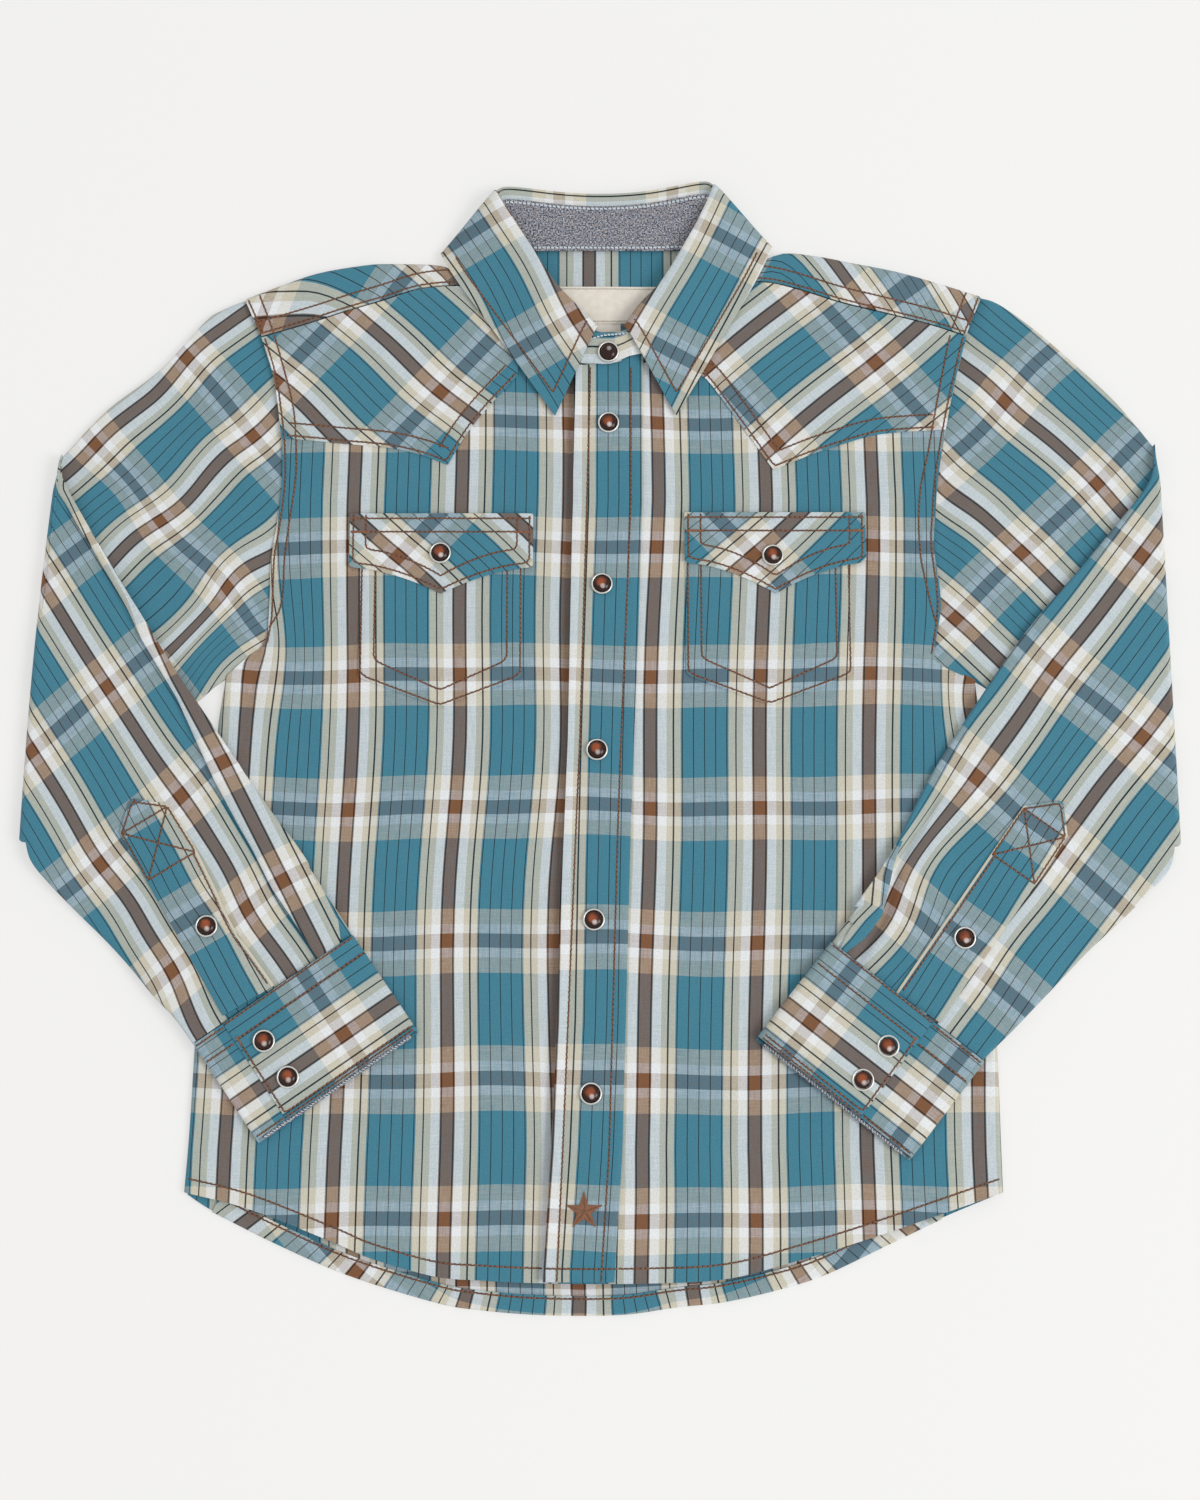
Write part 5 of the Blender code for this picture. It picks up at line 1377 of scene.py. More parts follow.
def make_pleat(side):
    """The part of a forearm folded back over itself along the edge beside the body."""
    out = OUT[side]
    edge = np.array(PLEAT_EDGE[side])
    border = smooth([row[:2] for row in FOREARM[side]], 8)
    level = np.linspace(edge[0, 1], edge[-1, 1], 90)
    edge_x = np.interp(-level, -edge[:, 1], edge[:, 0])
    border_x = np.interp(-level, -border[:, 1], border[:, 0])
    run = np.column_stack([np.gradient(edge_x), np.gradient(level)])
    run /= np.linalg.norm(run, axis=1, keepdims=True)
    towards = np.stack([-run[:, 1], run[:, 0]], axis=1) * -out
    width = np.abs(border_x - edge_x) * np.abs(run[:, 1])
    # Across: rolled under at the fold, over the top, and down round the sleeve's edge
    stations = [(2.6, -0.9, 0), (0.9, -0.8, 0), (0.15, -0.35, 0), (0.0, 0.1, 0), (0.4, 0.45, 0),
                (1.4, 0.62, 0)]
    stations += [(0.0, 0.62 - 0.25 * share, share) for share in np.linspace(0.15, 0.93, 10)]
    stations += [(0.5, 0.2, 1), (0.8, -0.8, 1), (0.6, -2.0, 1)]
    start = np.column_stack([edge_x, level])
    over = ease(np.minimum(width, 4) / 4) * ease((level[0] - level) / 12)
    start_drop = 0.8 * (1 - ease((level[0] - level) / 7))
    built = []
    for reach, rise, share in stations:
        away = np.minimum(reach, width) if share == 0 else width * share + (
            reach - 1.2 if share == 1 else 0)
        place = start + towards * away[:, None]
        held = start + towards * np.clip(away, 0, width - 1.8)[:, None]
        top = forearm_top(side, held[:, 0], held[:, 1], creased=False)
        z = top + (rise + 0.35) * np.where(rise > 0, over, 1) + 0.12 - start_drop
        built.append([place[:, 0], place[:, 1], z])
    x, y, z = np.array(built).transpose(1, 2, 0)
    line = np.array(PLEAT_WARP[side])
    place_u, mark_x, mark_y = PLEAT_GRAIN[side]
    line_x = np.interp(-y, -line[:, 1], line[:, 0])
    along = Vector((line[-1, 0] - line[0, 0], line[-1, 1] - line[0, 1])).normalized()
    u = place_u + (line_x - x) * along.y
    v = (x - mark_x) * along.x + (y - mark_y) * along.y
    strip = lay("sleeve_pleat_cloth_" + side, x, y, z, (u, v), PLAID, wall=0.4, centred=True)


def cuff_frame(side):
    size = CUFFS[side]
    origin, far = Vector(size["lap"]), Vector(size["far"])
    across = (far - origin).normalized()
    down = Vector((across.y, -across.x)) if side == "right" else Vector((-across.y, across.x))
    return origin, across, down, (far - origin).length


def make_cuff(side):
    origin, across, down, width = cuff_frame(side)
    size = CUFFS[side]
    lap_end, depth, radius = size["lap_end"], size["depth"], CUFF_DEPTH / 2
    under = CUFF_DEPTH - LAYER
    turn = math.pi * np.arange(1, 8) / 8
    # From the lap's hidden end round both folds to its end on top: along the cuff, height
    ends = spread(width - radius - lap_end, (size["end_row"],), 2.6)[::-1]
    runs = [(lap_end + LAP * (1 - np.arange(8) / 8), under),
            (lerp(lap_end, under / 2, np.arange(9) / 8), under),
            (under / 2 * (1 - np.sin(turn)), under / 2 * (1 + np.cos(turn))),
            (lerp(under / 2, width - radius, np.arange(25) / 24), 0.0),
            (width - radius * (1 - np.sin(turn)), radius * (1 - np.cos(turn))),
            (lap_end + ends, CUFF_DEPTH)]
    path = np.concatenate([np.stack(np.broadcast_arrays(*run), axis=-1) for run in runs])
    arc = run_lengths(path)
    depths = spread(depth, (1.2, size["second_row"], depth - 2.6), 2.6)[:, None] / depth
    a, height = path[None, :, 0], path[None, :, 1]
    along = depths * (depth + FACING_SHOWS * (1 - ease(height / CUFF_DEPTH * 2 - 0.2)))
    x = origin.x + across.x * a + down.x * along
    y = origin.y + across.y * a + down.y * along
    top = height > CUFF_DEPTH - 0.01
    row_a = lap_end + size["end_row"]
    lines = [[(row_a, 0.0), (row_a, depth - 2.6)]]
    lines += [[(row_a, level), (width, level)] for level in (size["second_row"], depth - 2.6)]
    drop = sunk(a, along, lines, 0.35) + 0.4 * (1 - np.minimum(np.abs(a - lap_end), 2.0) / 2.0) ** 2
    z = FOREARM_LIFT + height - drop * top
    stripe, crossing = CUFF_GRAIN[side]
    number = np.arange(len(path))
    u = along - stripe + np.where(number < 20, 2.0, 0.0)
    v = np.where(number < 30, path[:, 0], lap_end + (arc[-1] - arc)) - crossing
    cuff = lay("cuff_cloth_" + side, x, y, z, (u, v), PLAID, wall=0.9, up=side != "left")
    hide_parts("cuff_" + side)


def make_cuff_facing(side):
    origin, across, down, width = cuff_frame(side)
    low = CUFFS[side]["depth"] + FACING_SHOWS + 0.3
    in_from_folds = CUFF_DEPTH / 2 + 1.5
    along = np.linspace(low - FACING_DEPTH, low, 14)[:, None]
    a = np.linspace(in_from_folds, width - in_from_folds, 60)[None, :]
    fray = 0.35 * np.sin(a * 4.1) * np.sin(a * 1.7 + 1) * (along > low - 0.1)
    x = origin.x + across.x * a + down.x * (along + fray)
    y = origin.y + across.y * a + down.y * (along + fray)
    facing = lay("cuff_facing_cloth_" + side, x, y, FOREARM_LIFT + LAYER + WALL, (a, along),
                 CHAMBRAY, wall=0.8)
    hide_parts("cuff_facing_" + side)


def placket_frame(side):
    """A sleeve placket's start, its two directions, its length and its tip."""
    size = SLEEVE_PLACKET[side]
    start, shoulder, tip = (Vector(size[key]) for key in ("cuff", "shoulder", "tip"))
    run = (shoulder - start).normalized()
    return start, run, Vector((run.y, -run.x)), (shoulder - start).length, tip


def make_sleeve_placket(side):
    size = SLEEVE_PLACKET[side]
    start, run, across, length, tip = placket_frame(side)
    shoulder, half = Vector(size["shoulder"]), size["half"]
    offsets = np.sort(np.append(spread(2 * half, (2.2, 2 * half - 2.2), 2.6) - half,
                                [half - 1.35, half - 1.2, 1.2 - half, 1.35 - half]))
    rows = np.append([-0.022, -0.011], np.linspace(0, 1, 48))
    x, y, flat = [], [], offsets
    for amount in rows:
        point = 1 - np.abs(flat) / half
        middle = start + (shoulder - start) * amount
        wider = read(size["outer_edge"], amount * length)
        offsets = flat * np.where(flat > 0, 1 + wider / half, 1)
        reach = tip - shoulder
        lean = ease((amount - 0.8) / 0.2)
        x.append(middle.x + across.x * offsets + (reach.x * point + run.x * 0.8) * lean)
        y.append(middle.y + across.y * offsets + (reach.y * point + run.y * 0.8) * lean)
    x, y = np.array(x), np.array(y)
    z = forearm_top(side, x, y) + PLACKET_LIFT
    edge = np.minimum(half - np.abs(flat)[None, :], (1 - rows)[:, None] * length)
    z = z - 0.5 * (1 - np.minimum(edge, 2.5) / 2.5) ** 2
    z = z + 28.0 * np.minimum(rows, 0)[:, None]
    crossing = Vector(SLEEVE_PLACKET_GRAIN[side])
    along = (x - crossing.x) * run.x + (y - crossing.y) * run.y
    hand = -OUT[side]
    aside = (x - start.x) * across.x + (y - start.y) * across.y
    bend = 0.6 * np.sin(along / 14) + 0.3 * np.sin(along / 7)
    # The edges that turn under show a single stripe's colour
    in_box = rows[:, None] * length > length - size["box"]
    turned = (hand * flat[None, :] > half - 1.28) | (flat[None, :] > half - 1.28) & in_box
    u = WARP_REPEAT / 2 + hand * (aside - size["teal"]) + bend
    grain = np.where(turned, 13.0, u), np.where(turned, 10.0, along)
    strip = lay("sleeve_placket_cloth_" + side, x, y, z, grain, PLAID, wall=0.8)
    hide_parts("sleeve_placket_" + side)


# ---- Collar and label ----
def make_stand():
    bands = smooth([STAND_UNDER] + [row[:6] for row in NECK] + [STAND_OVER], 6)
    seam, fold = bands[:, None, :3], bands[:, None, 3:]
    over = np.arange(len(bands)) > len(bands) - 16
    seam[over, 0, 1] += 4.0 * ease((seam[over, 0, 0] - 3) / 14)
    shares = np.linspace(0, 1, 9)[None, :, None]
    places = lerp(seam, fold, shares)
    length = run_lengths(bands[:, 3:5])
    end = ease((np.abs(length / length[-1] - 0.5) - 0.36) / 0.06)[:, None]
    back_v = (places[..., 0] + 21.3) * WEFT_REPEAT / 58.8
    v = lerp(back_v, length[:, None] - length[-1] + 30, end)
    u = lerp(10.4 - (1 - shares[..., 0]) * 26, 17.6 - (1 - shares[..., 0]) * 13.2, end)
    stand = lay("collar_stand_cloth", *places.transpose(2, 0, 1), (u, v), PLAID, wall=1.0,
                centred=True)
    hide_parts("collar_stand")


def make_stand_lining():
    first, last = LINING_ROWS
    bands = smooth([row[:6] for row in NECK[first:last + 1]], 8)
    seams, ends = bands[:, :3], bands[:, 3:]
    run = np.gradient(seams + ends, axis=0)
    inward = np.cross(run, ends - seams)
    inward /= np.linalg.norm(inward, axis=1, keepdims=True)
    height = np.linalg.norm(ends - seams, axis=1, keepdims=True)
    top = 1 - LINING_INSET / height
    shares = np.linspace(0, 1, 14)[None, :, None]
    places = lerp(seams[:, None], ends[:, None], lerp(-0.07, top[:, None], shares))
    places = places + inward[:, None] * (WALL + GAP)
    x, y, z = places.transpose(2, 0, 1)
    lining = lay("stand_lining_cloth", x, y, z, (x, y), CHAMBRAY, wall=0.8, centred=True)
    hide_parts("stand_lining")
    return places


def make_collar():
    rows = smooth(NECK, 8)
    seam, fold, rise, edge = rows[:, :3], rows[:, 3:6], rows[:, 6], rows[:, 7:]
    rim = (fold - seam) / np.linalg.norm(fold - seam, axis=1, keepdims=True)
    start = fold + rim * FOLD_GAP
    leave = rim * 8
    leave[:, 2] += rise
    arrive = (edge - start) * 1.15
    arrive[:, 2] = np.where(rise > 0, -2.0, 0.0)
    share = np.linspace(0, 1, 30)[None, :, None]
    square, cube = share ** 2, share ** 3
    places = (start[:, None] * (2 * cube - 3 * square + 1)
              + leave[:, None] * (cube - 2 * square + share)
              + edge[:, None] * (3 * square - 2 * cube) + arrive[:, None] * (cube - square))
    x, y = places[..., 0], places[..., 1]
    across = np.concatenate([np.zeros((len(rows), 1)), np.cumsum(
        np.linalg.norm(np.diff(places, axis=1), axis=2), axis=1)], axis=1)
    back_u, back_v = across * 0.9 + 10.4, (x + 21.3) * WEFT_REPEAT / 58.8
    grains = {side: straight_grain(*LEAF_GRAIN[side])(x, y) for side in ("right", "left")}
    number = np.linspace(0, len(NECK) - 1, len(rows))[:, None]
    on_right = 1 - ease((number - 5.2) / 0.8)
    on_left = ease((number - 12.0) / 0.8)
    on_back = 1 - on_right - on_left
    u = on_right * grains["right"][0] + on_left * grains["left"][0] + on_back * back_u
    v = on_right * grains["right"][1] + on_left * grains["left"][1] + on_back * back_v
    collar = lay("collar_cloth", x, y, places[..., 2], (u, v), PLAID, wall=1.0, centred=True)
    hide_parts("collar")
    return places


def make_yoke_lining():
    """The inner yoke, which shows inside the neck, cut on the straight grain."""
    x = np.linspace(-66, 72, 56)[None, :]
    y = np.linspace(176, 250.2, 32)[:, None]
    lining = lay("yoke_lining_cloth", x, y, yoke_lift(x, y) + 1.02, (x + 5.7, y - 206.5), PLAID,
                 wall=0.25)


def make_label():
    bottom, top = LABEL["bottom"] + 2.9, LABEL["top"] - 1.3
    x = np.linspace(LABEL["left"], LABEL["right"], 60)[None, :]
    y = np.linspace(bottom, top, 20)[:, None]
    z = yoke_lift(x, y) + 2 * WALL + GAP + 0.10 * np.sin(x / 4.0) * (y > top - 3)
    z = z + 0.22 * np.sin((x - 2 * y) / 13.0) - 0.3 * (1 - np.minimum(y - bottom, 1.2) / 1.2)
    label = lay("label_cloth", x, y, z, (x, y), SATIN, wall=0.7)
    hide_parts("label")
    sewing["label"] = [np.array([(LABEL["left"] + 1, level), (LABEL["right"] - 1, level)])
                       for level in (top - 1.2, bottom + 1.2)]


def make_size_tab():
    x = np.linspace(-8.0, 10.6, 20)[None, :]
    y = np.linspace(206.6, 218.6, 10)[:, None]
    tab = lay("size_tab_cloth", x, y, yoke_lift(x, y) + 1.32, (x + 90, y), SATIN, wall=0.2)


# ---- Snaps ----
def slope_normal(height, x, y):
    reach = RING_OUTER
    along_x = (height(x + reach, y) - height(x - reach, y)) / (2 * reach)
    along_y = (height(x, y + reach) - height(x, y - reach)) / (2 * reach)
    return Vector((-float(along_x), -float(along_y), 1)).normalized()


def snap_places():
    placket_top = front_top("right", 2)
    x, y = STAND_SNAP
    last = NECK[-1]
    slope = Vector((0, -(last[5] - last[2]), last[4] - last[1])).normalized()
    share = (y - last[1]) / (last[4] - last[1])
    places = [(Vector((x, y, lerp(last[2], last[5], share) + WALL / 2)), slope)]
    for x, y in FRONT_SNAPS:
        places.append((Vector((x, y, placket_top(x, y))), slope_normal(placket_top, x, y)))
    for side in ("right", "left"):
        x, y = FLAP_SNAPS[side]
        top = front_top(side, 2)
        places.append((Vector((x, y, top(x, y))), slope_normal(top, x, y)))
    for side in ("right", "left"):
        def sleeve_top(x, y, side=side):
            return forearm_top(side, x, y) + PLACKET_LIFT

        x, y = SLEEVE_PLACKET[side]["snap"]
        places.append((Vector((x, y, sleeve_top(x, y))), slope_normal(sleeve_top, x, y)))
        origin, across, down, _ = cuff_frame(side)
        for aside, along in CUFFS[side]["snaps"]:
            place = origin + across * aside + down * along
            places.append((Vector((place.x, place.y, FOREARM_LIFT + CUFF_DEPTH)),
                           Vector((0, 0, 1))))
    return places


def spun(profile, segments, seat, number=0):
    """A turned shape from radius, height pairs, with its own place on the pearl's pattern."""
    mesh = bmesh.new()
    verts = [mesh.verts.new((radius, 0, height)) for radius, height in profile]
    edges = [mesh.edges.new(pair) for pair in zip(verts, verts[1:])]
    bmesh.ops.spin(mesh, geom=verts + edges, cent=(0, 0, 0), axis=(0, 0, 1),
                   angle=2 * math.pi, steps=segments, use_merge=True)
    bmesh.ops.remove_doubles(mesh, verts=mesh.verts, dist=1e-4)
    bmesh.ops.recalc_face_normals(mesh, faces=mesh.faces)
    layer = mesh.loops.layers.uv.new("Cloth")
    for face in mesh.faces:
        for loop in face.loops:
            loop[layer].uv = (
                loop.vert.co.x / CAP_RADIUS + CAP_SPACING / 2 + number * CAP_SPACING,
                loop.vert.co.y / CAP_RADIUS + (DARK_CAP_SHIFT if number == 1 else 0.0))
    bmesh.ops.transform(mesh, matrix=seat @ Matrix.Scale(MM, 4), verts=mesh.verts)
    return mesh


def join_meshes(name, meshes, stuff):
    whole = bmesh.new()
    for mesh in meshes:
        data = fill(bpy.data.meshes.new("part"), mesh)
        whole.from_mesh(data)
        bpy.data.meshes.remove(data)
    data = fill(bpy.data.meshes.new(name), whole)
    data.materials.append(stuff)
    data.shade_smooth()
    data.set_sharp_from_angle(angle=math.radians(50))
    thing = new_object(name, data)
    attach(thing, "root")
    return thing


def make_snaps():
    ring = [(4.2, 0.15), (5.2, 0.0), (5.45, 0.25), (5.5, 0.6), (5.42, 0.95), (5.2, 1.25),
            (4.95, 1.35), (4.72, 1.28), (4.55, 1.05), (4.48, 0.7), (4.4, 0.3), (4.2, 0.15)]
    cap = [(0.0, 0.2), (4.05, 0.2), (4.15, 0.5), (4.1, 0.85), (3.9, 1.2), (3.4, 1.6), (2.7, 1.95),
           (1.8, 2.2), (0.9, 2.32), (0.0, 2.36)]
    rings, caps = [], []
    for number, (place, normal) in enumerate(snap_places(), start=1):
        tilt = Vector((0, 0, 1)).rotation_difference(normal).to_matrix().to_4x4()
        seat = Matrix.Translation((place + normal * (GAP + 0.1)) * MM) @ tilt
        rings.append(spun(ring, 36, seat))
        caps.append(spun(cap, 32, seat, number))
    names = range(1, len(rings) + 1)
    steel = join_meshes("snap_rings_steel", rings, STEEL)
    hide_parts(*["snap_ring_%02d" % number for number in names])
    pearl = join_meshes("snap_caps_pearl", caps, PEARL)
    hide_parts(*["snap_cap_%02d" % number for number in names])


# ---- Sewing ----
class Ground:
    """The upper face of some laid pieces, found by looking straight down at them."""

    def __init__(self, *names):
        graph = bpy.context.evaluated_depsgraph_get()
        self.trees = [BVHTree.FromObject(bpy.data.objects[name], graph) for name in names]

    def at(self, x, y):
        best = None
        for tree in self.trees:
            place, normal, _, _ = tree.ray_cast(Vector((x * MM, y * MM, 0.2)), Vector((0, 0, -1)))
            if place is not None and (best is None or place.z > best[0].z):
                best = place, normal
        return best


def seated(ground, start, end, half_width, half_height, sink=0.0):
    """The matrix that lays a stitch of unit size on the cloth from point to point."""
    first, last = ground.at(*start), ground.at(*end)
    middle = ground.at((start[0] + end[0]) / 2, (start[1] + end[1]) / 2)
    if first is None or last is None or middle is None:
        return []
    run = last[0] - first[0]
    if run.length < 1e-5 or abs(run.z) > run.length * 0.8:
        return []
    along = run.normalized()
    across = middle[1].cross(along).normalized()
    up = along.cross(across)
    place = np.eye(4)
    place[:3, 0] = np.array(across) * half_width * MM
    place[:3, 1] = np.array(up) * half_height * MM
    place[:3, 2] = np.array(along) * run.length / 2
    place[:3, 3] = np.array(middle[0] - middle[1] * sink * MM)
    return [place]


def stitch_block(hole):
    """One stitch, a slim lozenge along Z, or the needle hole between two as a dark blob of painted shade.
    """
    mesh = bmesh.new()
    mesh.loops.layers.uv.new("Cloth")
    bmesh.ops.create_uvsphere(mesh, u_segments=6, v_segments=2 if hole else 4, radius=1.0,
                              calc_uvs=True)
    for vert in mesh.verts:
        reach = math.hypot(vert.co.x, vert.co.y)
        if not hole and 0.1 < reach < 0.9:
            vert.co = Vector((vert.co.x * 0.9 / reach, vert.co.y * 0.9 / reach, vert.co.z * 1.1))
    # A hole's block takes the thread's darkest end colour all over: painted shade in the needle hole
    if hole:
        layer = mesh.loops.layers.uv.active
        for face in mesh.faces:
            for loop in face.loops:
                loop[layer].uv.y = 1.0
    return fill(bpy.data.meshes.new("block"), mesh)


def copied(block, seats):
    """A small mesh repeated once at every seat."""
    corners = np.empty(len(block.vertices) * 3)
    block.vertices.foreach_get("co", corners)
    corners = np.column_stack([corners.reshape(-1, 3), np.ones(len(block.vertices))])
    count, whole = len(seats), bmesh.new()
    while count:
        if count % 2:
            whole.from_mesh(block)
        count //= 2
        double = bmesh.new()
        double.from_mesh(block)
        double.from_mesh(block)
        fill(block, double)
    bpy.data.meshes.remove(block)
    data = fill(bpy.data.meshes.new("rows"), whole)
    placed = np.einsum("nij,vj->nvi", np.array(seats), corners)[:, :, :3]
    data.vertices.foreach_set("co", placed.ravel())
    return data


def sewn(name, stitches, holes, stuff):
    """A finished piece of sewing from the seats of its stitches and of the painted-shade holes between
    them.
    """
    whole = bmesh.new()
    for seats, hole in ((stitches, False), (holes, True)):
        if seats:
            data = copied(stitch_block(hole), seats)
            whole.from_mesh(data)
            bpy.data.meshes.remove(data)
    return join_meshes(name, [whole], stuff)


def sew(name, ground, lines, stuff, pitch=2.5, half_width=0.54, half_height=0.36, lean=0.3,
        sink=0.0, hole=1.0):
    """Rows of stitches along lines, each a little askew, with dark holes of painted shade where they
    meet.
    """
    stitches, holes = [], []
    for line in lines:
        points = stepped(line, pitch)
        for index, (start, end) in enumerate(zip(points, points[1:])):
            step = end - start
            side = np.array([-step[1], step[0]])
            skew = side * lean * (0.5 + 0.22 * math.sin(index * 2.4))
            draw = step * 0.06
            stitches += seated(ground, start + draw + skew / 2, end - draw - skew / 2,
                               half_width, half_height, sink)
            # A dark blob of painted shade at the needle hole
            if hole:
                reach = step / np.linalg.norm(step) * hole / 2
                holes += seated(ground, start - reach, start + reach, half_width * 0.95,
                                half_height * 0.85, sink)
    return sewn(name, stitches, holes, stuff)


def tack(start, end, width, pitch=0.42):
    """A bar tack: close crosswise stitches from one end to the other."""
    points = stepped([start, end], pitch)
    run = (points[-1] - points[0]) / np.linalg.norm(points[-1] - points[0])
    side = np.array([-run[1], run[0]]) * width / 2
    return [(point - side + run * 0.2, point + side - run * 0.2) for point in points]


def sew_tacks(name, ground, tacks):
    seats = []
    for start, end, width in tacks:
        for first, last in tack(start, end, width):
            seats += seated(ground, first, last, 0.30, 0.34)
    return sewn(name, seats, [], SATIN_THREAD)


def sew_star(name, ground, middle, radius):
    """A plain five-pointed star in satin stitch, each arm ribbed from its ridge outwards."""
    seats = []
    notch = radius * 0.382 / 0.94
    middle = np.array(middle)
    for arm in range(5):
        angle = math.pi / 2 + arm * 2 * math.pi / 5
        out = np.array([math.cos(angle), math.sin(angle)])
        for hand in (-1, 1):
            side = angle + hand * math.pi / 5
            corner = np.array([math.cos(side), math.sin(side)]) * notch
            for step in range(27):
                ridge = out * radius * (0.04 + 0.93 * step / 26)
                reach = 0.04 + 0.93 * step / 26
                edge = corner + (out * radius - corner) * max(reach - 0.24, 0.0) / 0.76
                if reach < 0.24:
                    edge = corner * (0.45 + 0.55 * reach / 0.24)
                seats += seated(ground, middle + ridge, middle + edge, 0.30, 0.42, -0.12)
    return sewn(name, seats, [], SATIN_THREAD)


def cuff_line(side, points):
    """Places on a cuff given along its seam and down from it."""
    origin, across, down, _ = cuff_frame(side)
    return np.array([tuple(origin + across * a + down * d) for a, d in points])


def cuff_rows(side):
    """Rows on a cuff: seam, second row, lap end, lower edge, and those of the layer beneath."""
    size, width = CUFFS[side], cuff_frame(side)[3]
    lap, depth = size["lap_end"], size["depth"]
    second, end = size["second_row"], lap + size["end_row"]
    return [
        cuff_line(side, [(lap + 0.3, 0.9), (width - 0.6, 0.9)]),
        cuff_line(side, [(width - 0.8, second), (end + 0.6, second)]),
        cuff_line(side, [(end + 0.6, second), (end, depth - 2.8), (width - 1.2, depth - 2.8)]),
        cuff_line(side, [(lap + 0.4, depth - 0.8), (width - 1.2, depth - 0.8)]),
        cuff_line(side, [(1.0, 1.6), (lap - 0.9, 1.6)]),
        cuff_line(side, [(1.0, second + 0.8), (lap - 0.9, second + 0.8)]),
        cuff_line(side, [(1.6, depth - 1.2), (lap - 0.9, depth - 1.2)]),
    ]


def placket_box(side):
    """The sewn box with its cross and point at the head of a sleeve placket."""
    start, run, across, length, tip = placket_frame(side)
    half = SLEEVE_PLACKET[side]["half"] - 0.9
    low = length - SLEEVE_PLACKET[side]["box"]

    def at(a, along):
        wider = read(SLEEVE_PLACKET[side]["outer_edge"], along) if a > 0 else 0.0
        return tuple(start + across * (a + wider) + run * along)

    low_a, low_b = at(-half, low), at(half, low)
    high_a, high_b = at(-half, length - 0.5), at(half, length - 0.5)
    point = tuple(tip - (tip - (start + run * length)).normalized() * 1.4)
    edge = -OUT[side] * (half - 1.3)
    return [np.array(line) for line in (
        [at(edge, low * step / 12 + 0.5) for step in range(12)] + [at(edge, low)],
        [high_a, low_a, low_b, high_b], [low_a, high_b], [high_a, low_b], [high_a, high_b],
        [high_a, point, high_b])]


def leaf_rows(places, side):
    """The row of sewing round a collar leaf, inside its front and outer edges."""
    rows = (places if side == "right" else places[::-1])[:, :, :2]
    front, outer = stepped(rows[0, 3:], 0.6), stepped(rows[:38, -1], 0.6)
    edge = np.concatenate([front, outer[1:]])
    row = np.concatenate([inset(line, OUT[side] * LEAF_ROW) for line in (front, outer)])
    return [row[line_distance(row[:, 0], row[:, 1], edge) > LEAF_ROW - 0.2]]


def sew_neck():
    collar = Ground("collar_cloth")
    for side in ("right", "left"):
        sew("stitches_collar_" + side, collar, leaf_rows(collar_places, side), RUST_THREAD)
    lining = Ground("stand_lining_cloth")
    rows = [lerp(lining_places[:, 0], lining_places[:, 1], 0.8),
            lerp(lining_places[:, -1], lining_places[:, -2], 0.8)]
    sew("stitches_stand_lining", lining, rows, BLUE_THREAD, pitch=2.2, half_width=0.55,
        half_height=0.35, lean=0.3)
    sew("stitches_label", Ground("label_cloth"), sewing["label"], CREAM_THREAD, pitch=2.1,
        half_width=0.28, half_height=0.2)
    stand_edge = stepped(smooth([(-9, 199.3), (2, 202.2), (12, 203.2), (20, 205.5)], 8), 1.0)
    sew("stitches_stand", Ground("collar_stand_cloth"), [stand_edge], BLUE_THREAD, pitch=1.9,
        half_width=0.45)


def sew_front(side):
    body = Ground("front_cloth_" + side, "yoke_cloth_" + side, "yoke_cloth_back")
    sew("stitches_armhole_" + side, body, armhole_rows(side), RUST_THREAD)
    sew("stitches_yoke_" + side, body,
        sewing["yoke_" + side] + sewing["shoulder_" + side], RUST_THREAD)
    pocket = Ground("front_cloth_" + side, "pocket_cloth_" + side)
    sew("stitches_pocket_" + side, pocket, sewing["pocket_" + side], RUST_THREAD)
    flap = Ground("front_cloth_" + side, "pocket_cloth_" + side, "flap_cloth_" + side)
    sew("stitches_flap_" + side, flap, sewing["flap_" + side], RUST_THREAD)
    # A tack at each upper corner of the flap, and a short one below the first
    low_x, high_x = sorted((FLAPS[side]["inner"], FLAPS[side]["outer"]))
    row = FLAPS[side]["top"] - FLAP_TOP_ROWS[-1]
    sew_tacks("tacks_flap_" + side, flap, [
        ((low_x + 1.2, row), (low_x + 9.6, row), 1.5),
        ((high_x - 9.6, row), (high_x - 1.2, row), 1.5),
        ((low_x + 0.8, row + 7), (low_x + 5.0, row + 7), 1.1)])


def sew_sleeve(side):
    cuff = Ground("cuff_cloth_" + side)
    sew("stitches_cuff_" + side, cuff, cuff_rows(side), RUST_THREAD)
    lap, depth, width = CUFFS[side]["lap_end"], CUFFS[side]["depth"], cuff_frame(side)[3]
    edge = cuff_line(side, [(4.0, depth + 1.0), (width - 4.0, depth + 1.0)])
    sew("stitches_cuff_facing_" + side, Ground("cuff_facing_cloth_" + side), [edge], BLUE_THREAD,
        pitch=1.6, half_width=0.36, half_height=0.3, lean=1.1, hole=0.7)
    end, second = lap + CUFFS[side]["end_row"] + 0.6, CUFFS[side]["second_row"]
    corner = cuff_line(side, [(end, second - 0.8), (end, second + 3.3)])
    sew_tacks("tacks_cuff_" + side, cuff, [(corner[0], corner[1], 1.0)])
    strip = Ground("sleeve_placket_cloth_" + side, "sleeve_cloth_" + side)
    sew("stitches_sleeve_placket_" + side, strip, placket_box(side), RUST_THREAD)


def sew_middle():
    front = Ground("front_cloth_right", "front_cloth_left", "placket_cloth")
    sew("stitches_front_hem", front, [front_hem_row()], RUST_THREAD)
    sew("stitches_back_hem", Ground("back_hem_cloth"), sewing["back_hem"], RUST_THREAD)
    sew("stitches_placket", Ground("placket_cloth"), sewing["placket"], RUST_THREAD)
    sew_star("star_satin_stitch", Ground("placket_cloth"), STAR, STAR_RADIUS)


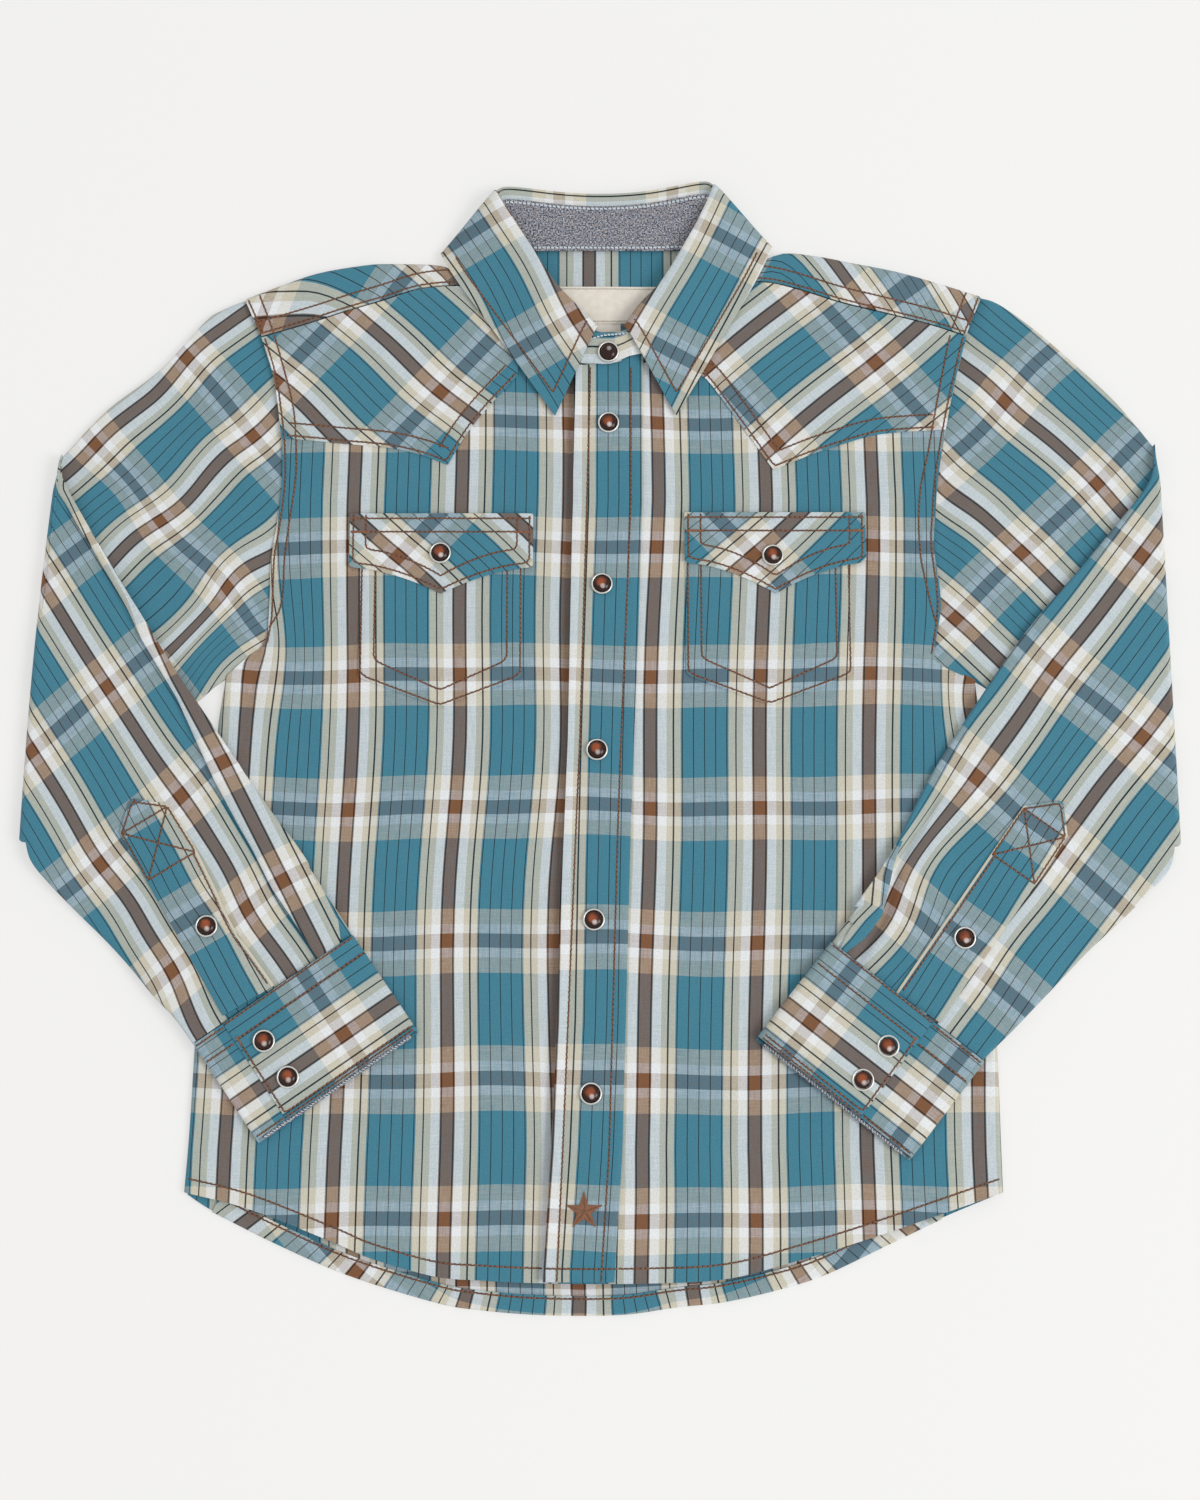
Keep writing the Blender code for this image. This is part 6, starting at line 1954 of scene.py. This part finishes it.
# ---- Camera, light and floor ----
CAMERA_TILT = 10.0
CAMERA_DISTANCE = 1.175
AIM = Vector((0.0, -0.012, 0.0))
LENS = 56.4
WARM_WHITE = (1.0, 0.995, 0.985, 1)
SKY_STRENGTH = 0.74
BOARD_GLOW = 0.51


def make_camera():
    data = bpy.data.cameras.new("Camera")
    camera = new_object("Camera", data)
    tilt = math.radians(CAMERA_TILT)
    camera.location = AIM + CAMERA_DISTANCE * Vector((0, -math.sin(tilt), math.cos(tilt)))
    camera.rotation_euler = (tilt, 0, 0)
    data.lens = LENS
    data.sensor_width = 36.0
    data.clip_end = 20.0
    bpy.context.scene.camera = camera


def make_light(name, place, size, power):
    data = bpy.data.lights.new(name, "AREA")
    data.shape = "DISK"
    data.size = size
    data.energy = power
    light = new_object(name, data)
    light.location = place
    light.rotation_euler = (-Vector(place)).to_track_quat("-Z", "Y").to_euler()


def make_studio():
    mesh = bmesh.new()
    bmesh.ops.create_grid(mesh, x_segments=1, y_segments=1, size=3.0)
    data = fill(bpy.data.meshes.new("floor"), mesh)
    floor = new_object("floor", data)
    for vert in data.vertices:
        vert.co.z = -0.0006
    material, n, shader = new_material("Pale board")
    grainy = n.noise(n.object_place(), 3.0, 3.0)
    # A board lit from below, which keeps the shadows on it pale
    n.feed(shader, {
        "Base Color": n.mix(grainy, (0.37, 0.368, 0.362, 1), (0.38, 0.378, 0.372, 1)),
        "Roughness": n.scaled(grainy, 0.1, 0.8), "Emission Color": WARM_WHITE,
        "Emission Strength": BOARD_GLOW})
    data.materials.append(material)
    world = bpy.data.worlds.new("Studio")
    world.use_nodes = True
    sky = world.node_tree.nodes["Background"]
    sky.inputs["Color"].default_value = WARM_WHITE
    sky.inputs["Strength"].default_value = SKY_STRENGTH
    bpy.context.scene.world = world
    make_light("Key", (3.4, -1.1, 3.3), 2.4, 100)
    bpy.context.scene.view_settings.view_transform = "Standard"
    bpy.context.scene.view_settings.look = "None"


make_back()
make_back_hem()
make_back_yoke()
make_yoke_lining()
make_label()
make_size_tab()
for wearer_side in ("right", "left"):
    make_front(wearer_side)
    make_front_yoke(wearer_side)
    make_patch("pocket", wearer_side, POCKETS[wearer_side], 1, body_grain(wearer_side),
               POCKET_ROWS, 1.0, ())
    make_patch("flap", wearer_side, FLAPS[wearer_side], 2,
               straight_grain(*FLAP_GRAIN[wearer_side]), FLAP_ROWS, 1.7, FLAP_TOP_ROWS)
    make_sleeve(wearer_side)
    make_pleat(wearer_side)
    make_cuff(wearer_side)
    make_cuff_facing(wearer_side)
    make_sleeve_placket(wearer_side)
make_placket()
make_stand()
lining_places = make_stand_lining()
collar_places = make_collar()
make_snaps()
sew_neck()
for wearer_side in ("right", "left"):
    sew_front(wearer_side)
    sew_sleeve(wearer_side)
sew_middle()
make_camera()
make_studio()
